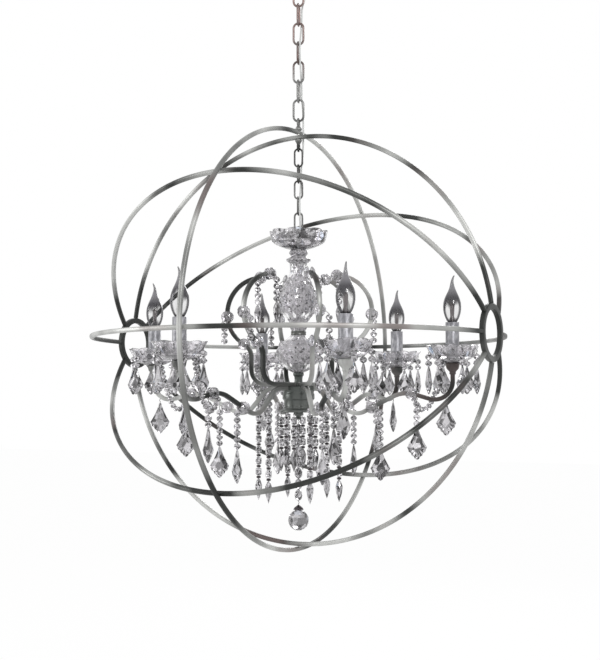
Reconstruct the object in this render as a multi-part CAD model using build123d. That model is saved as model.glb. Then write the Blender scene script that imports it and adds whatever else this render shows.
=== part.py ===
from build123d import *
import os
from math import asin, cos, hypot, pi, radians, sin, sqrt, tan

os.makedirs("parts", exist_ok=True)

# Orb chandelier, millimetres, +Z up. The origin is the centre of the ceiling face of the
# mounting strap, and everything hangs below it. +X runs through the open end rings of the cage.

# ---- driving dimensions -----------------------------------------------------------------
CROWN_GAP = 0.2            # between the wires of two linked links
WELD_GAP = 0.05            # root gap where one bar is welded to another
SLIP_FIT = 0.25            # radial clearance of glass and cups on their tubes
THREAD_FIT = 0.05          # radial clearance of a tube screwed into its hole
SWING_GAP = 0.3            # between a piece that swings or unscrews and its seat

STRAP_LENGTH, STRAP_WIDTH, STRAP_THICK = 104.0, 22.0, 2.0
BOX_SCREW_SPACING, BOX_SCREW_HOLE = 88.9, 5.0
NIPPLE_OD, NIPPLE_BORE, NIPPLE_GRIP = 9.5, 6.5, 5.0
CANOPY_OD, CANOPY_DEPTH, CANOPY_WALL = 130.0, 28.0, 1.2
CANOPY_FLAT, CANOPY_RIM = 46.0, 4.0
BUSHING_OFFSET, BUSHING_OD, BUSHING_HEAD, BUSHING_LIP = 16.5, 8.0, 11.0, 1.5

EYE_WIRE, EYE_OD, EYE_SINK = 4.3, 20.0, 3.5
BOSS_OD, BOSS_HEIGHT = 13.4, 8.0
CANOPY_BOSS_OD = 20.0
STUD_OD = 6.0

CHAIN_TURN = 18.0          # degrees from +X to the plane of the first link
LINK_COUNT, LINK_LENGTH, LINK_WIDTH, LINK_WIRE = 7, 47.1, 24.0, 4.3
INNER_COUNT, INNER_LENGTH, INNER_WIDTH, INNER_WIRE = 5, 39.0, 19.0, 3.6
LINK_FACET_COUNT, LINK_STEP_COUNT = 6, 6     # sides of a wire's section, chords of a half turn

CAGE_RADIUS = 404.0        # centreline of the outer hoop
BAR = 9.3                  # square bar of every hoop
HALF_BAR_COUNT = 8
RING_OD, RING_ID, RING_WIDTH = 105.0, 84.0, 9.0

FIXTURE_TURN = 14.3        # degrees from +X to the first arm
ARM_COUNT, ARM_BAR = 6, 8.0
BEND_STEP = 0.3            # radians turned by each chord of a bent bar, about
CANDLE_CIRCLE = 298.0      # radius of the circle of candles
TUBE_OD, TUBE_BORE = 9.5, 6.5
CUT_SIDE_COUNT = 12             # facets round the cut glass

COLUMN_NECK_HEIGHT, COLUMN_FLANGE_OD, COLUMN_FLANGE_HEIGHT = 20.0, 26.0, 6.0
BOWL_OD, BOWL_HEIGHT, BOWL_WALL, BOWL_FLOOR, BOWL_SCALLOP = 114.0, 41.0, 4.5, 6.0, 6.0
UPPER_COLLAR_OD, UPPER_COLLAR_HEIGHT = 37.0, 14.0
LOWER_COLLAR_OD, LOWER_COLLAR_HEIGHT = 48.0, 14.0
VASE_OD, VASE_NECK_OD, VASE_FOOT_OD, VASE_HEIGHT = 75.0, 34.0, 32.0, 132.0
METAL_RING_OD, METAL_RING_HEIGHT = 30.0, 8.0
BALL_OD, BALL_HEIGHT = 90.0, 72.0
STEM_OD, STEM_HEIGHT = 21.0, 27.0
HUB_OD, HUB_HEIGHT, HUB_LIP_OD, HUB_LIP_HEIGHT, HUB_STEP = 62.0, 50.0, 74.0, 3.0, 3.0
FINIAL_OD, FINIAL_HEIGHT = 18.0, 14.0

ARM_STRAIGHT, ARM_DIP_REACH, ARM_DIP = 31.0, 108.0, 55.0
ARM_CREST_INSET, ARM_CREST_DROP, ARM_ELBOW_DROP, ARM_TIP_RISE = 93.0, 5.0, 33.0, 25.5
ARM_BENDS = [24.0, 30.0, 60.0, 34.0]       # radius at each corner of the arm

SCROLL_SWEEP, SCROLL_BEND = 70.0, 30.0
SCROLL_FOOT, SCROLL_RISE, SCROLL_TURN = 65.0, 23.0, 153.0

CUP_OD, CUP_WAIST, CUP_HEIGHT = 26.0, 12.0, 22.0
DISH_OD, DISH_HEIGHT, DISH_WALL, DISH_FLOOR, DISH_SCALLOP = 102.0, 33.0, 4.0, 5.0, 4.0
DISH_FOOT_OD, DISH_SIDE_COUNT = 34.0, 12
DISH_HIP, HIP_HEIGHT, HIP_SCALLOP = 0.70, 0.42, 0.4     # shares of a dish's reach, height, scallop
SLEEVE_OD, SLEEVE_WALL, SLEEVE_HEIGHT = 25.5, 1.2, 71.0
SOCKET_OD, SOCKET_BORE, SOCKET_DEPTH, SOCKET_DROP = 19.0, 12.8, 24.0, 1.0
BULB_CAP_OD, BULB_CAP_LENGTH, BULB_OD, BULB_LENGTH, BULB_LEAN = 11.9, 22.0, 34.0, 114.0, 4.0
BULB_SIDE_COUNT = 8

ROSETTE_OD, ROSETTE_THICK, ROSETTE_SIDE_COUNT = 23.0, 7.0, 8
RONDELLE_OD, RONDELLE_LENGTH = 12.0, 9.0
BEAD_OD, BEAD_LENGTH, BEAD_SIDE_COUNT = 13.0, 12.0, 4
KITE_WIDTH, KITE_LENGTH, KITE_THICK = 38.0, 62.0, 11.0
DISH_KITE_WIDTH, DISH_KITE_LENGTH = 32.0, 52.0
SPEAR_WIDTH, SPEAR_LENGTH = 14.0, 42.0
BAGUETTE_WIDTH, BAGUETTE_LENGTH = 12.0, 15.5
SPACER_WIDTH, SPACER_LENGTH = 9.0, 5.5
HOOK_WIDTH, HOOK_LENGTH = 3.0, 8.0
CENTRE_BEAD_OD, CENTRE_BEAD_LENGTH, CENTRE_BEAD_COUNT = 15.0, 21.0, 7
CENTRE_BALL_OD, CENTRE_CAP_OD, CENTRE_CAP_HEIGHT = 40.0, 22.0, 9.0

HUB_STRAND_CIRCLE, HUB_STRAND_COUNT = 80.0, 6
INNER_STRAND_CIRCLE, INNER_STRAND_COUNT = 34.0, 3
DISH_DROP_COUNT, DISH_DROP_BEAD_COUNT, DISH_DROP_INSET = 6, 2, 4.0
ROSETTES_ON_ARM = (0.41, 0.66)             # shares of the arm's length
ROSETTES_ON_SCROLL = (0.0, 0.36, 0.97)     # shares of the big sweep
ARM_DROP_INSETS, ARM_DROP_BEAD_COUNTS = (13.0, 68.0, 138.0), (0, 4, 6)     # in from the candle
SCROLL_DROP_BEAD_COUNT = 4
FESTOON_SAG, FESTOON_IN = 55.0, 20.0
HANG_GAP = 0.3             # between a hook's tip and the glass it hangs from

WIRE_OD, WIRE_SIDE_COUNT = 3.5, 4    # lamp wire woven through the chain


# ---- small builders ---------------------------------------------------------------------
def save(name, pieces):
    """Write one named node; several separate solids go in as a group."""
    solids = [solid for piece in pieces for solid in piece.solids()]
    shape = solids[0] if len(solids) == 1 else Compound(children=solids)
    export_step(shape, "parts/" + name + ".step")


def around(shape, count, first=0.0):
    """Copies of a shape turned evenly about the vertical axis."""
    return [Rot(0, 0, first + 360.0 / count * k) * shape for k in range(count)]


def on_arms(shapes):
    """Copies of shapes, drawn along the XZ plane, on every arm."""
    return [copy for shape in shapes for copy in around(shape, ARM_COUNT, FIXTURE_TURN)]


def level_ring(radius, z, sides=CUT_SIDE_COUNT, x=0.0, scallop=0.0):
    """Corners of a level polygon; a scallop draws every second corner in."""
    points = []
    for k in range(sides):
        angle = 2 * pi * k / sides
        reach = radius - (scallop if k % 2 else 0.0)
        points.append((x + reach * cos(angle), reach * sin(angle), z))
    return points


def bore_ring(radius, z, sides=CUT_SIDE_COUNT):
    """Corners of a level polygon that a round of this radius just passes."""
    return level_ring(radius / cos(pi / sides), z, sides)


def flat_faces(corners):
    """One flat face through three or four corners, or two where four are warped."""
    kept = [Vector(*p) for k, p in enumerate(corners) if p not in corners[:k]]
    if len(kept) < 3:
        return []
    normal = (kept[1] - kept[0]).cross(kept[2] - kept[0])
    if len(kept) == 4 and abs(normal.normalized().dot(kept[3] - kept[0])) > 1e-6:
        halves = [[kept[0], kept[1], kept[2]], [kept[0], kept[2], kept[3]]]
    else:
        halves = [kept]
    return [Face(Wire.make_polygon(half, close=True)) for half in halves]


def faceted(rings, closed=False):
    """Cut solid through stacked rings of corners, where a ring of one corner is a tip.
    A closed one joins its last ring to its first, as a dish with a hole does."""
    pairs = list(zip(rings, rings[1:]))
    if closed:
        pairs.append((rings[-1], rings[0]))
    faces = []
    for low, high in pairs:
        count = max(len(low), len(high))
        for i in range(count):
            j = (i + 1) % count
            near = [low[i % len(low)], low[j % len(low)]]
            faces += flat_faces(near + [high[j % len(high)], high[i % len(high)]])
    if not closed:
        ends = [end for end in (rings[0], rings[-1]) if len(end) > 2]
        faces += [Face(Wire.make_polygon([Vector(*p) for p in end], close=True)) for end in ends]
    return Solid(Shell(faces))


def turned(profile):
    """A turned piece from its (radius, z) corners."""
    return revolve(Plane.XZ * Polygon(*profile, align=None), Axis.Z)


def bead_between(start, end, diameter, sides=BEAD_SIDE_COUNT, shoulder=0.5):
    """A cut bead with its two tips at the points; a shoulder under a half makes a bar of it."""
    start = Vector(*start)
    run = Vector(*end) - start
    levels = sorted({run.length * shoulder, run.length * (1 - shoulder)})
    rings = [[(0.0, 0.0, 0.0)]]
    rings += [level_ring(diameter / 2, z, sides) for z in levels]
    rings += [[(0.0, 0.0, run.length)]]
    return Plane(origin=start, z_dir=run) * faceted(rings)


def hanging(top, parts):
    """Beads hung tip to tip below a point: (kind, count) pairs become solids."""
    solids = []
    x, y, z = top
    for length, diameter, sides, shoulder, count in parts:
        for _ in range(count):
            solids.append(bead_between((x, y, z), (x, y, z - length), diameter, sides, shoulder))
            z -= length
    return solids, (x, y, z)


def hook(count=1):
    return HOOK_LENGTH, HOOK_WIDTH, 4, 0.5, count


def beads(count):
    return BEAD_LENGTH, BEAD_OD, BEAD_SIDE_COUNT, 0.5, count


def baguettes(count):
    """Bars of cut glass with a dark spacer after each."""
    bar = (BAGUETTE_LENGTH, BAGUETTE_WIDTH, 4, 0.12, 1)
    spacer = (SPACER_LENGTH, SPACER_WIDTH, 4, 0.5, 1)
    return [bar, spacer] * count


def kite(width, length, top, turn=0.0):
    """A flat cut pendant hanging from the point, widest low down, with a scalloped foot."""
    half, wide, foot = width / 2, 0.62 * length, 0.86 * length
    notch = half * 0.46
    rim = [(0.0, 0.0, 0.0), (half, 0.0, -wide), (notch, 0.0, -foot), (0.0, 0.0, -length)]
    rim += [(-notch, 0.0, -foot), (-half, 0.0, -wide)]
    front = [(0.0, -KITE_THICK / 2, -0.55 * length)]
    back = [(0.0, KITE_THICK / 2, -0.55 * length)]
    return Pos(*top) * Rot(0, 0, turn) * faceted([front, rim, back])


def spear(top, width=SPEAR_WIDTH, length=SPEAR_LENGTH):
    """A long four-sided icicle hanging from the point."""
    rings = [[(0.0, 0.0, -length)], level_ring(width / 2, -0.3 * length, 4), [(0.0, 0.0, 0.0)]]
    return Pos(*top) * faceted(rings)


def wire_section(middle, outward, wire):
    """Corners of a wire's section where it crosses the XZ plane of its loop."""
    corners = []
    for k in range(LINK_FACET_COUNT):
        angle = 2 * pi * k / LINK_FACET_COUNT
        reach = wire / 2 * cos(angle)
        corners.append((middle[0] + outward[0] * reach, wire / 2 * sin(angle),
                        middle[1] + outward[1] * reach))
    return corners


def link(length, width, wire, centre_z, turn):
    """A chain link standing in a vertical plane, turned about the chain's line.
    With no straight sides it is a ring."""
    radius = (width - wire) / 2
    straight = (length - wire) / 2 - radius
    rings = []
    for k in range(LINK_STEP_COUNT + 1):
        angle = pi * k / LINK_STEP_COUNT
        outward = (cos(angle), sin(angle))
        middle = (radius * cos(angle), straight + radius * sin(angle))
        rings.append(wire_section(middle, outward, wire))
    lower = [[(-x, y, -z) for x, y, z in ring] for ring in rings]
    if straight == 0:
        rings, lower = rings[:-1], lower[:-1]
    return Pos(0, 0, centre_z) * Rot(0, 0, turn) * faceted(rings + lower, closed=True)


def eye(centre_z, turn):
    """A cast ring eye standing in a vertical plane."""
    return link(EYE_OD, EYE_OD, EYE_WIRE, centre_z, turn)


def tube(outer, inner, low, high):
    """An upright tube, or a rod where the bore is nothing."""
    body = Pos(0, 0, (low + high) / 2) * Cylinder(outer / 2, high - low)
    if inner:
        body -= Pos(0, 0, (low + high) / 2) * Cylinder(inner / 2, high - low)
    return body


def chorded(path):
    """Corners of a bar's centreline: each bend of the path becomes a run of short chords."""
    corners = [path @ 0]
    for edge in path.edges():
        bend = radians((edge % 0).get_angle(edge % 1))
        steps = max(1, round(bend / BEND_STEP))
        near, far = edge @ 0, edge @ 1
        forward = (near - corners[-1]).length < (far - corners[-1]).length
        shares = [k / steps for k in range(1, steps + 1)]
        corners += [edge @ (share if forward else 1 - share) for share in shares]
    return corners


def upright_bar(corners):
    """Square bar, mitred at the corners of its centreline in the XZ plane."""
    rings = []
    for k, here in enumerate(corners):
        before, after = corners[max(k - 1, 0)], corners[min(k + 1, len(corners) - 1)]
        into = (here - before).normalized() if k else (after - here).normalized()
        out = (after - here).normalized() if k < len(corners) - 1 else into
        along = (into + out).normalized()
        half = ARM_BAR / 2 / along.dot(into)
        side = (-along.Y * half, along.X * half)
        rings.append([(here.X + u * side[0], v * ARM_BAR / 2, here.Y + u * side[1])
                      for u, v in ((1, 1), (1, -1), (-1, -1), (-1, 1))])
    return faceted(rings)


# ---- levels, worked down from the ceiling ----------------------------------------------
eye_radius = (EYE_OD - EYE_WIRE) / 2
canopy_eye = -CANOPY_DEPTH - BOSS_HEIGHT + EYE_SINK - EYE_OD / 2


def chain_levels(first_crown, upper_wire, count, length, wire):
    """Middle and lower crown of each link hung below a crown wire."""
    middles, crowns = [], []
    step = (upper_wire + wire) / 2 + CROWN_GAP
    crown = first_crown
    for _ in range(count):
        top = crown + step
        crown = top - (length - wire)
        middles.append((top + crown) / 2)
        crowns.append(crown)
        step = wire + CROWN_GAP
    return middles, crowns


link_middles, link_crowns = chain_levels(
    canopy_eye - eye_radius, EYE_WIRE, LINK_COUNT, LINK_LENGTH, LINK_WIRE)
hanger_eye = link_crowns[-1] + (LINK_WIRE + EYE_WIRE) / 2 + CROWN_GAP - eye_radius
hanger_seat = hanger_eye - EYE_OD / 2 + EYE_SINK - BOSS_HEIGHT     # outer face of the outer hoop
orb = hanger_seat - BAR / 2 - CAGE_RADIUS

half_bar_radius = CAGE_RADIUS - BAR - WELD_GAP
lower_seat = orb + sqrt((half_bar_radius - BAR / 2) ** 2 - (BOSS_OD / 2) ** 2)
lower_eye = lower_seat - BOSS_HEIGHT + EYE_SINK - EYE_OD / 2
inner_middles, inner_crowns = chain_levels(
    lower_eye - eye_radius, EYE_WIRE, INNER_COUNT, INNER_LENGTH, INNER_WIRE)
column_eye = inner_crowns[-1] + (INNER_WIRE + EYE_WIRE) / 2 + CROWN_GAP - eye_radius
column_neck_top = column_eye - EYE_OD / 2 + EYE_SINK
bowl_floor = column_neck_top - COLUMN_NECK_HEIGHT
bowl_foot = bowl_floor - BOWL_FLOOR
upper_collar_foot = bowl_foot - UPPER_COLLAR_HEIGHT
lower_collar_foot = upper_collar_foot - LOWER_COLLAR_HEIGHT
vase_foot = lower_collar_foot - VASE_HEIGHT
metal_ring_foot = vase_foot - METAL_RING_HEIGHT
ball_foot = metal_ring_foot - BALL_HEIGHT
hub_top = ball_foot - STEM_HEIGHT
hub_foot = hub_top - HUB_HEIGHT
print("orb centre", round(orb, 2), "bowl floor", round(bowl_floor, 2), "hub top", round(hub_top, 2))

# ---- ceiling plate and canopy -----------------------------------------------------------
strap = Pos(0, 0, -STRAP_THICK / 2) * Box(STRAP_LENGTH, STRAP_WIDTH, STRAP_THICK)
strap -= tube(NIPPLE_OD + 2 * THREAD_FIT, 0, -STRAP_THICK, 0)
for side in (-1, 1):
    strap -= Pos(side * BOX_SCREW_SPACING / 2, 0, 0) * tube(BOX_SCREW_HOLE, 0, -STRAP_THICK, 0)
save("ceiling_strap", [strap])
save("canopy_nipple", [tube(NIPPLE_OD, NIPPLE_BORE, -CANOPY_DEPTH - NIPPLE_GRIP, 0)])


def canopy_profile(inset):
    """Corners of the canopy's spun wall from rim to flat, with the middle of its curve."""
    rim, flat, low = CANOPY_OD / 2 - inset, CANOPY_FLAT / 2, -CANOPY_DEPTH + inset
    wide, high = rim - flat, -CANOPY_RIM - low
    curve = (wide**2 + high**2) / (2 * high)
    half_turn = asin(wide / curve) / 2
    middle = (flat + curve * sin(half_turn), low + curve * (1 - cos(half_turn)))
    return (rim, 0), (rim, -CANOPY_RIM), middle, (flat, low)


outer, inner = canopy_profile(0), canopy_profile(CANOPY_WALL)
hole = NIPPLE_OD / 2 + SLIP_FIT
canopy_wall = Wire([
    Line(outer[0], outer[1]),
    ThreePointArc(outer[1], outer[2], outer[3]),
    Line(outer[3], (hole, outer[3][1])),
    Line((hole, outer[3][1]), (hole, inner[3][1])),
    Line((hole, inner[3][1]), inner[3]),
    ThreePointArc(inner[3], inner[2], inner[1]),
    Line(inner[1], inner[0]),
    Line(inner[0], outer[0]),
])
canopy = revolve(Plane.XZ * Face(canopy_wall), Axis.Z)
bushing_place = Rot(0, 0, CHAIN_TURN) * Pos(BUSHING_OFFSET, 0, 0)
canopy -= bushing_place * tube(BUSHING_OD + 2 * THREAD_FIT, 0, -2 * CANOPY_DEPTH, 0)
save("canopy", [canopy])

bushing = tube(BUSHING_OD, 0, -CANOPY_DEPTH, -CANOPY_DEPTH + 2 * CANOPY_WALL)
bushing += tube(BUSHING_HEAD, 0, -CANOPY_DEPTH - BUSHING_LIP, -CANOPY_DEPTH)
bushing -= tube(WIRE_OD + 2 * THREAD_FIT, 0, -2 * CANOPY_DEPTH, 0)
save("wire_bushing", [bushing_place * bushing])

boss_foot = -CANOPY_DEPTH - BOSS_HEIGHT
canopy_loop = tube(CANOPY_BOSS_OD, 0, boss_foot, -CANOPY_DEPTH)
canopy_loop -= tube(NIPPLE_OD + 2 * THREAD_FIT, 0, -CANOPY_DEPTH - NIPPLE_GRIP, -CANOPY_DEPTH)
canopy_loop += eye(canopy_eye, CHAIN_TURN + 90)
save("canopy_loop", [canopy_loop])

# ---- chain ------------------------------------------------------------------------------
for k, middle in enumerate(link_middles):
    save(f"chain_link_{k + 1}",
         [link(LINK_LENGTH, LINK_WIDTH, LINK_WIRE, middle, CHAIN_TURN + 90 * (k % 2))])
for k, middle in enumerate(inner_middles):
    save(f"inner_link_{k + 1}",
         [link(INNER_LENGTH, INNER_WIDTH, INNER_WIRE, middle, CHAIN_TURN + 90 * (k % 2))])

# ---- cage -------------------------------------------------------------------------------
stud_hole = Pos(0, 0, orb + CAGE_RADIUS) * Cylinder(STUD_OD / 2 + THREAD_FIT, 6 * BAR)
hoop = revolve(Pos(CAGE_RADIUS, 0) * Rectangle(BAR, BAR), Axis.Y)
outer_hoop = Pos(0, 0, orb) * Rot(0, 0, 90) * hoop - stud_hole
save("outer_hoop", [outer_hoop])

ring_reach = sqrt(half_bar_radius**2 - (RING_OD / 2) ** 2)
ring_clear = Rot(0, 90, 0) * Cylinder(RING_OD / 2 + WELD_GAP, 3 * CAGE_RADIUS)
half_bar = revolve(Pos(half_bar_radius, 0) * Rectangle(BAR, BAR), Axis.Y, 180)
if half_bar.bounding_box().center().Z < 0:
    half_bar = Rot(180, 0, 0) * half_bar
half_bar -= ring_clear
half_bars = []
for k in range(HALF_BAR_COUNT):
    bar = Pos(0, 0, orb) * Rot(360.0 / HALF_BAR_COUNT * k, 0, 0) * half_bar
    half_bars.append(bar - stud_hole if k == 0 else bar)
save("meridian_bars", half_bars)

end_ring = Rot(0, 90, 0) * tube(RING_OD, RING_ID, -RING_WIDTH / 2, RING_WIDTH / 2)
save("oculus_rings", [Pos(side * ring_reach, 0, orb) * end_ring for side in (-1, 1)])

hanger_bore = STUD_OD + 2 * THREAD_FIT
hanger_top = tube(BOSS_OD, 0, hanger_seat, hanger_seat + BOSS_HEIGHT)
hanger_top -= tube(hanger_bore, 0, hanger_seat, hanger_seat + BOSS_HEIGHT - EYE_SINK)
hanger_top += eye(hanger_eye, CHAIN_TURN + 90)
save("hanger_top_loop", [hanger_top])
hanger_bottom = tube(BOSS_OD, 0, lower_seat - BOSS_HEIGHT, lower_seat)
hanger_bottom -= tube(hanger_bore, 0, lower_seat - BOSS_HEIGHT + EYE_SINK, lower_seat)
hanger_bottom += eye(lower_eye, CHAIN_TURN + 90)
save("hanger_bottom_loop", [hanger_bottom])
stud_reach = BOSS_HEIGHT - EYE_SINK
save("hanger_stud", [tube(STUD_OD, 0, lower_seat - stud_reach, hanger_seat + stud_reach)])

# ---- centre column ----------------------------------------------------------------------
column_wire_exit = (5.5, -7.4)     # where the lamp wire enters the flange, in the chain's frame
wire_hole = Rot(0, 0, CHAIN_TURN) * Pos(column_wire_exit[0], column_wire_exit[1], 0)
flange_top = bowl_floor + COLUMN_FLANGE_HEIGHT
column_loop = tube(BOSS_OD, 0, bowl_floor, column_neck_top)
column_loop += tube(COLUMN_FLANGE_OD, 0, bowl_floor, flange_top)
column_loop -= tube(TUBE_OD + 2 * THREAD_FIT, 0, bowl_floor, flange_top)
column_loop -= wire_hole * tube(WIRE_OD + 2 * THREAD_FIT, 0, bowl_floor, flange_top)
column_loop += eye(column_eye, CHAIN_TURN + 90)
save("column_loop", [column_loop])
save("centre_tube", [tube(TUBE_OD, TUBE_BORE, hub_foot, flange_top)])


def dish(foot, outside, height, wall, floor, scallop, sides, foot_radius):
    """A cut-glass dish with a hole in its floor for the tube that carries it."""
    rim = foot + height
    hip = foot + HIP_HEIGHT * height
    outside_rings = [
        level_ring(foot_radius, foot, sides),
        level_ring(DISH_HIP * outside / 2, hip, sides, scallop=HIP_SCALLOP * scallop),
        level_ring(outside / 2, rim, sides, scallop=scallop),
    ]
    inside_rings = [
        level_ring(outside / 2 - wall, rim, sides, scallop=scallop),
        level_ring(DISH_HIP * outside / 2 - wall, hip + wall / 3, sides, scallop=HIP_SCALLOP * scallop),
        level_ring(foot_radius - wall / 2, foot + floor, sides),
    ]
    hole_rings = [bore_ring(tube_clear, foot + floor, sides), bore_ring(tube_clear, foot, sides)]
    return faceted(outside_rings + inside_rings + hole_rings, closed=True)


tube_clear = TUBE_OD / 2 + SLIP_FIT
save("top_bowl", [dish(bowl_foot, BOWL_OD, BOWL_HEIGHT, BOWL_WALL, BOWL_FLOOR, BOWL_SCALLOP, 16,
                       UPPER_COLLAR_OD / 2)])


def cut_glass(foot, height, shape):
    """A bored cut-glass body; shape lists (share of height, radius) from foot to top."""
    rings = [level_ring(radius, foot + share * height) for share, radius in shape]
    bore = [bore_ring(tube_clear, foot + height), bore_ring(tube_clear, foot)]
    return faceted(rings + bore, closed=True)


half_upper, half_lower, half_neck = UPPER_COLLAR_OD / 2, LOWER_COLLAR_OD / 2, VASE_NECK_OD / 2
save("collar_glass_upper", [cut_glass(upper_collar_foot, UPPER_COLLAR_HEIGHT, [
    (0, half_upper * 0.75), (0.45, half_upper), (1, half_upper * 0.8)])])
save("collar_glass_lower", [cut_glass(lower_collar_foot, LOWER_COLLAR_HEIGHT, [
    (0, half_neck), (0.4, half_lower), (0.6, half_lower), (1, half_upper * 0.75)])])
half_vase, half_vase_foot = VASE_OD / 2, VASE_FOOT_OD / 2
save("vase_glass", [cut_glass(vase_foot, VASE_HEIGHT, [
    (0, half_vase_foot * 0.8), (0.08, half_vase_foot), (0.19, half_vase_foot * 0.92),
    (0.32, half_vase * 0.72), (0.46, half_vase), (0.64, half_vase * 0.86),
    (0.86, half_neck * 0.85), (1, half_neck)])])
save("metal_ring", [turned([
    (tube_clear, metal_ring_foot), (METAL_RING_OD / 2, metal_ring_foot),
    (METAL_RING_OD / 2, vase_foot), (tube_clear, vase_foot)])])
half_ball = BALL_OD / 2
save("ball_glass", [cut_glass(ball_foot, BALL_HEIGHT, [
    (0, STEM_OD / 2), (0.1, half_ball * 0.48), (0.3, half_ball * 0.86), (0.52, half_ball),
    (0.75, half_ball * 0.84), (0.94, half_ball * 0.42), (1, METAL_RING_OD / 2)])])
save("stem_collar", [tube(STEM_OD, 2 * tube_clear, hub_top, ball_foot)])

half_hub, half_lip = HUB_OD / 2, HUB_LIP_OD / 2
save("hub_cup", [turned([
    (tube_clear, hub_top), (half_hub, hub_top), (half_hub, hub_top - HUB_HEIGHT * 0.5),
    (half_hub - HUB_STEP, hub_top - HUB_HEIGHT * 0.5 - HUB_STEP),
    (half_hub - HUB_STEP, hub_foot + 3 * HUB_LIP_HEIGHT),
    (half_lip, hub_foot + HUB_LIP_HEIGHT), (half_lip, hub_foot), (tube_clear, hub_foot)])])
finial_foot = hub_foot - FINIAL_HEIGHT
half_finial = FINIAL_OD / 2
save("hub_finial", [turned([
    (0, hub_foot), (half_finial, hub_foot), (half_finial, hub_foot - FINIAL_HEIGHT * 0.35),
    (half_finial * 0.5, hub_foot - FINIAL_HEIGHT * 0.6), (half_finial * 0.6, finial_foot),
    (0, finial_foot)])])

# ---- arms and scrolls -------------------------------------------------------------------
arm_line = hub_top - ARM_BAR / 2
arm_tip = arm_line + ARM_TIP_RISE
arm_path = FilletPolyline(
    (half_hub, arm_line), (half_hub + ARM_STRAIGHT, arm_line), (ARM_DIP_REACH, arm_line - ARM_DIP),
    (CANDLE_CIRCLE - ARM_CREST_INSET, arm_line - ARM_CREST_DROP),
    (CANDLE_CIRCLE, arm_line - ARM_ELBOW_DROP), (CANDLE_CIRCLE, arm_tip), radius=ARM_BENDS)
arm_corners = chorded(arm_path)
save("arms", on_arms([upright_bar(arm_corners)]))

scroll_line = hub_top + ARM_BAR / 2
scroll_in = Line((STEM_OD / 2 + WELD_GAP, scroll_line), (SCROLL_FOOT, scroll_line))
scroll_knee = JernArc(scroll_in @ 1, (1, 0), SCROLL_BEND, 90)
scroll_up = Line(scroll_knee @ 1, scroll_knee @ 1 + Vector(0, SCROLL_RISE))
scroll_turn = JernArc(scroll_up @ 1, (0, 1), SCROLL_BEND, -60)
scroll_sweep = JernArc(scroll_turn @ 1, scroll_turn % 1, SCROLL_SWEEP, SCROLL_TURN)
scroll_corners = [scroll_in @ 0]
for piece in (scroll_in, scroll_knee, scroll_up, scroll_turn, scroll_sweep):
    scroll_corners += chorded(piece)[1:]
save("upper_scrolls", on_arms([upright_bar(scroll_corners)]))


# ---- candles ----------------------------------------------------------------------------
def at_candle(shape):
    return Pos(CANDLE_CIRCLE, 0, 0) * shape


dish_foot = arm_tip + CUP_HEIGHT
dish_rim = dish_foot + DISH_HEIGHT
dish_floor = dish_foot + DISH_FLOOR
half_cup = CUP_OD / 2
cup = faceted([
    level_ring(CUP_WAIST / 2, arm_tip), level_ring(half_cup * 0.8, arm_tip + CUP_HEIGHT * 0.4),
    level_ring(half_cup, dish_foot - 3.0), level_ring(half_cup, dish_foot)])
save("candle_cups", on_arms([at_candle(cup)]))
bobeche = dish(dish_foot, DISH_OD, DISH_HEIGHT, DISH_WALL, DISH_FLOOR, DISH_SCALLOP, DISH_SIDE_COUNT,
               DISH_FOOT_OD / 2)
save("bobeches", on_arms([at_candle(bobeche)]))
sleeve_top = dish_floor + SLEEVE_HEIGHT
sleeve = faceted([
    level_ring(SLEEVE_OD / 2, dish_floor), level_ring(SLEEVE_OD / 2, sleeve_top),
    level_ring(SLEEVE_OD / 2 - SLEEVE_WALL, sleeve_top),
    level_ring(SLEEVE_OD / 2 - SLEEVE_WALL, dish_floor)], closed=True)
save("candle_sleeves", on_arms([at_candle(sleeve)]))
socket_top = sleeve_top - SOCKET_DROP
socket_floor = socket_top - SOCKET_DEPTH
socket_body = faceted([
    level_ring(TUBE_OD / 2, dish_foot, 8), level_ring(TUBE_OD / 2, socket_floor - 8.0, 8),
    level_ring(SOCKET_OD / 2, socket_floor - 8.0, 8), level_ring(SOCKET_OD / 2, socket_top, 8),
    bore_ring(SOCKET_BORE / 2, socket_top, 8), bore_ring(SOCKET_BORE / 2, socket_floor, 8)])
save("lamp_sockets", on_arms([at_candle(socket_body)]))

bulb_foot = socket_floor + SWING_GAP
bulb_shape = [(0, BULB_CAP_OD, 0), (BULB_CAP_LENGTH, BULB_CAP_OD, 0), (0.30, 22.0, 0),
              (0.42, BULB_OD * 0.94, 0), (0.52, BULB_OD, 0), (0.66, BULB_OD * 0.8, 0),
              (0.80, BULB_OD * 0.42, 0.25), (0.91, BULB_OD * 0.18, 0.6)]
bulb_rings = []
for level, diameter, lean in bulb_shape:
    z = bulb_foot + (level if level > 1 else level * BULB_LENGTH)
    bulb_rings.append(level_ring(diameter / 2, z, BULB_SIDE_COUNT, x=lean * BULB_LEAN))
bulb_rings.append([(BULB_LEAN, 0.0, bulb_foot + BULB_LENGTH)])
for k, bulb in enumerate(around(at_candle(faceted(bulb_rings)), ARM_COUNT, FIXTURE_TURN)):
    save(f"bulb_{k + 1}", [bulb])

# ---- crystal rosettes -------------------------------------------------------------------
arm_spots = [arm_path @ share for share in ROSETTES_ON_ARM]
scroll_spots = [scroll_sweep @ share for share in ROSETTES_ON_SCROLL]
button = faceted([level_ring(ROSETTE_OD / 2, 0, ROSETTE_SIDE_COUNT), [(0.0, 0.0, ROSETTE_THICK)]])
rosettes = []
for spot in arm_spots + scroll_spots:
    for side in (-1, 1):
        face = Plane(origin=(spot.X, side * ARM_BAR / 2, spot.Y), z_dir=(0, side, 0))
        rosettes.append(face * button)
rosettes = on_arms(rosettes)
save("crystal_rosettes", rosettes)

# ---- crystal strands and drops ----------------------------------------------------------
rosette_face = ARM_BAR / 2 + ROSETTE_THICK


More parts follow.
